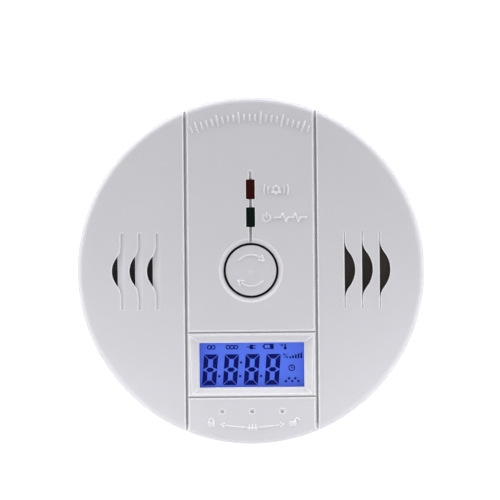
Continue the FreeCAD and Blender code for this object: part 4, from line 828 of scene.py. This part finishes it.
class DETECTOR_OT_button_marks(bpy.types.Operator):
    """Raise two turning arrows on the test button"""

    bl_idname = "detector.button_marks"
    bl_label = "Button Marks"

    def execute(self, context):
        marks = context.scene.detector_marks
        stroke = marks.stroke / MM
        drawn = arrow((0.0, 0.0), BUTTON_ARROW_RADIUS, stroke, 140.0, 52.0, 1.15)
        drawn += arrow((0.0, 0.0), BUTTON_ARROW_RADIUS, stroke, 320.0, 232.0, 1.15)
        emboss("button_marks", drawn, marks, "test_button", "test_button")
        return {"FINISHED"}


# ---------------------------------------------------------------- display


def digit(centre, display):
    """A seven-segment figure eight, drawn upright, whose bars are mitred where they meet."""
    x, y = centre
    wide, tall = display.digit_width / MM, display.digit_height / MM
    width = display.segment / MM
    half, gap = width / 2, 0.13
    left, right = x - wide / 2, x + wide / 2
    drawn = []
    for up in (-1, 1):
        outer = y + up * tall / 2
        level = outer - up * half
        piece = settle(bar((left + gap, level), (right - gap, level), width))
        pull(piece, (left + gap, outer - up * width), (width, 0.0))
        pull(piece, (right - gap, outer - up * width), (-width, 0.0))
        drawn.append(piece)
        near, far = y + up * gap, outer - up * gap
        for across in (-1, 1):
            middle, inner = x + across * (wide / 2 - half), x + across * (wide / 2 - width)
            piece = settle(bar((middle, near), (middle, far), width))
            pull(piece, (inner, far), (0.0, -up * width))
            pull(piece, (inner, near), (0.0, up * half))
            drawn.append(piece)
    ends = left + width + gap, right - width - gap
    drawn.append(bar((ends[0], y), (ends[1], y), width * 0.92))
    drawn += [disc((end, y), width * 0.46, 4) for end in ends]
    return drawn


def battery_sign(x, y):
    drawn = path([(x - 1.1, y - 0.62), (x + 1.5, y - 0.62), (x + 1.5, y + 0.62),
                  (x - 1.1, y + 0.62), (x - 1.1, y - 0.62)], 0.28)
    drawn.append(bar((x - 1.55, y), (x - 1.1, y), 0.55))
    drawn.append(bar((x + 0.55, y), (x + 1.5, y), 1.15))
    return drawn


def molecule(x, y, atoms):
    """Joined rings: how many says which gas it stands for."""
    step = 1.15
    start = x - step * (atoms - 1) / 2
    return [ring((start + step * index, y), 0.52, 0.32, sides=32) for index in range(atoms)]


def plug_sign(x, y):
    pin, lead = 0.36, 0.28
    return [bar((x - 0.5, y), (x + 0.5, y), 1.3),
            bar((x + 0.5, y + pin), (x + 1.25, y + pin), lead),
            bar((x + 0.5, y - pin), (x + 1.25, y - pin), lead),
            bar((x - 1.3, y), (x - 0.5, y), lead)]


def warmth_sign(x, y):
    return [ring((x - 0.7, y + 0.42), 0.26, 0.2, sides=24), disc((x + 0.25, y - 0.44), 0.44),
            bar((x + 0.25, y - 0.4), (x + 0.25, y + 0.8), 0.42)]


def level_sign(x, y):
    """A share sign and rising bars."""
    drawn = [disc((x - 2.4, y + 0.4), 0.28), disc((x - 1.5, y - 0.4), 0.28),
             *path([(x - 2.35, y - 0.6), (x - 1.55, y + 0.6)], 0.2)]
    for index in range(5):
        height = 0.6 + 0.25 * index
        at = x - 0.6 + 0.8 * index
        drawn.append(bar((at, y - 0.78), (at, y - 0.78 + height), 0.52))
    return drawn


def clock_sign(x, y):
    return [ring((x, y), 0.82, 0.3, sides=40), *path([(x, y + 0.5), (x, y), (x + 0.36, y)], 0.24)]


def particle_sign(x, y):
    return [disc((x - 1.8 + 0.9 * index, y + (0.45 if index % 2 else -0.35)), 0.36, 18)
            for index in range(5)]


class DETECTOR_OT_display(bpy.types.Operator):
    """Lay the digits and signs into the display"""

    bl_idname = "detector.display"
    bl_label = "Display"

    def execute(self, context):
        display = context.scene.detector_display
        low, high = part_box("lcd_window")
        middle_x, middle_y = (low.x + high.x) / 2 / MM, (low.z + high.z) / 2 / MM
        left, top = middle_x - 15.1, middle_y + 6.45
        tall = display.digit_height / MM
        centre_y = top - 3.45 - tall / 2
        figures = []
        first = joined("digit", digit((left + 3.02, centre_y), display))
        for index in range(4):
            figure = first.copy()
            figure.data = first.data.copy()
            context.collection.objects.link(figure)
            figure.location.x = index * display.digit_pitch / MM
            figures.append(settle(figure))
        bpy.data.objects.remove(first)
        pips = [(5.80, 9.78), (11.83, 9.78), (11.83, 5.85), (17.84, 9.78)]
        figures += [disc((left + x, top - y), 0.36) for x, y in pips]
        digits = joined("lcd_digits", figures)
        lean = Matrix.Identity(4)
        lean[0][1], lean[0][3] = display.slant, -display.slant * centre_y
        digits.data.transform(lean)
        signs = [
            *molecule(left + 3.4, top - 1.4, 2), *molecule(left + 9.4, top - 1.4, 3),
            *plug_sign(left + 15.0, top - 1.4), *battery_sign(left + 19.8, top - 1.3),
            *warmth_sign(left + 24.5, top - 1.35), *level_sign(left + 26.8, top - 4.0),
            *clock_sign(left + 26.6, top - 7.5), *particle_sign(left + 26.7, top - 11.0),
        ]
        symbols = joined("lcd_symbols", signs)
        for piece in (digits, symbols):
            lay_on(stand_up(piece), "lcd_front_glass", display.film, display.film_sink)
            hand_over(piece, "ink", "housing")
        return {"FINISHED"}


# ---------------------------------------------------------------- finishes and stage


class DETECTOR_OT_finishes(bpy.types.Operator):
    """Give every part its finish"""

    bl_idname = "detector.finishes"
    bl_label = "Finishes"

    def execute(self, context):
        scene = context.scene
        made = make_finishes(scene.detector_finish, scene.detector_display,
                             scene.detector_marks)
        scene["detector_finishes"] = {name: material.name for name, material in made.items()}
        for node, name in NODE_FINISHES.items():
            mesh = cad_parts[node].data
            mesh.materials.clear()
            mesh.materials.append(made[name])
        return {"FINISHED"}


def softbox(name, place, aim, side, power):
    """A square lamp that faces its aim."""
    deselect()
    bpy.ops.object.light_add(type="AREA", location=place)
    lamp = bpy.context.object
    lamp.name = name
    lamp.data.shape = "SQUARE"
    lamp.data.size = side
    lamp.data.energy = power
    lamp.rotation_euler = (Vector(aim) - Vector(place)).to_track_quat("-Z", "Y").to_euler()
    return lamp


def studio_world(stage):
    """A white surround that is brightest level with the face and dimmer ahead of it and behind."""
    world = bpy.data.worlds.new("studio")
    bpy.context.scene.world = world
    world.use_nodes = True
    sky = Nodes(world.node_tree)
    _, ahead, up = sky.axes(sky.node("ShaderNodeTexCoord", output="Generated"))
    span = sky.node("ShaderNodeMapRange", inputs={"Value": ahead, "From Min": -1.0})
    front, side = stage.front_light, stage.side_light
    rear, behind = stage.rear_light, stage.back_light
    levels = ((0.0, front), (0.30, front), (0.41, side), (0.49, side), (0.56, rear),
              (0.95, rear), (0.975, behind))
    shade = sky.node("ShaderNodeValToRGB", {"stops": [
        (position, (*(level / side,) * 3, 1.0)) for position, level in levels]}, {0: span})
    light = sky.node("ShaderNodeBackground", inputs={
        "Color": WHITE, "Strength": shade * (up * (stage.upper_share * side) + side)})
    sky.node("ShaderNodeOutputWorld", inputs={"Surface": light})


def floor_finish():
    paint = Finish("studio_floor")
    cloud = paint.noise(3.0, 2.0)
    base = paint.mix(cloud, (0.51, 0.51, 0.51), (0.55, 0.55, 0.55))
    return paint.surface(Base_Color=base, Roughness=0.75)


class DETECTOR_OT_stage(bpy.types.Operator):
    """Set the camera, the floor and the light"""

    bl_idname = "detector.stage"
    bl_label = "Stage"

    def execute(self, context):
        stage = context.scene.detector_stage
        low, high = CAD_BOX
        rim = low.y + RIM_BEHIND_CROWN
        deselect()
        place = (-stage.sideways, rim - stage.distance, stage.rise)
        bpy.ops.object.camera_add(location=place, rotation=(math.pi / 2, 0.0, 0.0))
        camera = bpy.context.object
        camera.rotation_euler.rotate_axis("Z", stage.roll)
        camera.data.lens = stage.lens
        camera.data.dof.use_dof = False
        context.scene.camera = camera
        context.scene.view_settings.view_transform = "Standard"
        deselect()
        bpy.ops.mesh.primitive_plane_add(size=stage.floor_size,
                                         location=(0.0, 0.0, low.z - stage.floor_drop))
        floor = bpy.context.object
        floor.name = "floor"
        floor.data.materials.append(floor_finish())
        studio_world(stage)
        for name, side in (("left_softbox", -1), ("right_softbox", 1)):
            x, z = side * stage.light_apart, -stage.light_below
            softbox(name, (x, -stage.light_out, z), (x, 0.0, z), stage.light_side,
                    stage.lower_light)
        return {"FINISHED"}


class DETECTOR_PT_panel(bpy.types.Panel):
    """Shows the detector's steps and their settings"""

    bl_idname = "DETECTOR_PT_panel"
    bl_label = "Detector"
    bl_space_type = "VIEW_3D"
    bl_region_type = "UI"
    bl_category = "Detector"

    def draw(self, context):
        for operator in STEPS:
            self.layout.operator(operator.bl_idname)
        for group in GROUPS:
            settings = getattr(context.scene, group)
            box = self.layout.box()
            for name in settings.bl_rna.properties.keys():
                if name not in ("rna_type", "name"):
                    box.prop(settings, name)


STEPS = (DETECTOR_OT_finishes, DETECTOR_OT_stage, DETECTOR_OT_face_marks,
         DETECTOR_OT_button_marks, DETECTOR_OT_display)
GROUPS = {"detector_finish": DetectorFinish, "detector_marks": DetectorMarks,
          "detector_display": DetectorDisplay, "detector_stage": DetectorStage}
CLASSES = (*GROUPS.values(), *STEPS, DETECTOR_PT_panel)


def register():
    for cls in CLASSES:
        bpy.utils.register_class(cls)
    for name, group in GROUPS.items():
        setattr(bpy.types.Scene, name, PointerProperty(type=group))


def unregister():
    for name in GROUPS:
        delattr(bpy.types.Scene, name)
    for cls in reversed(CLASSES):
        bpy.utils.unregister_class(cls)


def run(operator):
    """Calls an operator through bpy.ops, and stops if it can't finish."""
    space, name = operator.bl_idname.split(".")
    if getattr(getattr(bpy.ops, space), name)() != {"FINISHED"}:
        raise RuntimeError(f"{operator.bl_label} didn't finish")


def main():
    register()
    for operator in STEPS:
        run(operator)


if __name__ == "__main__":
    main()
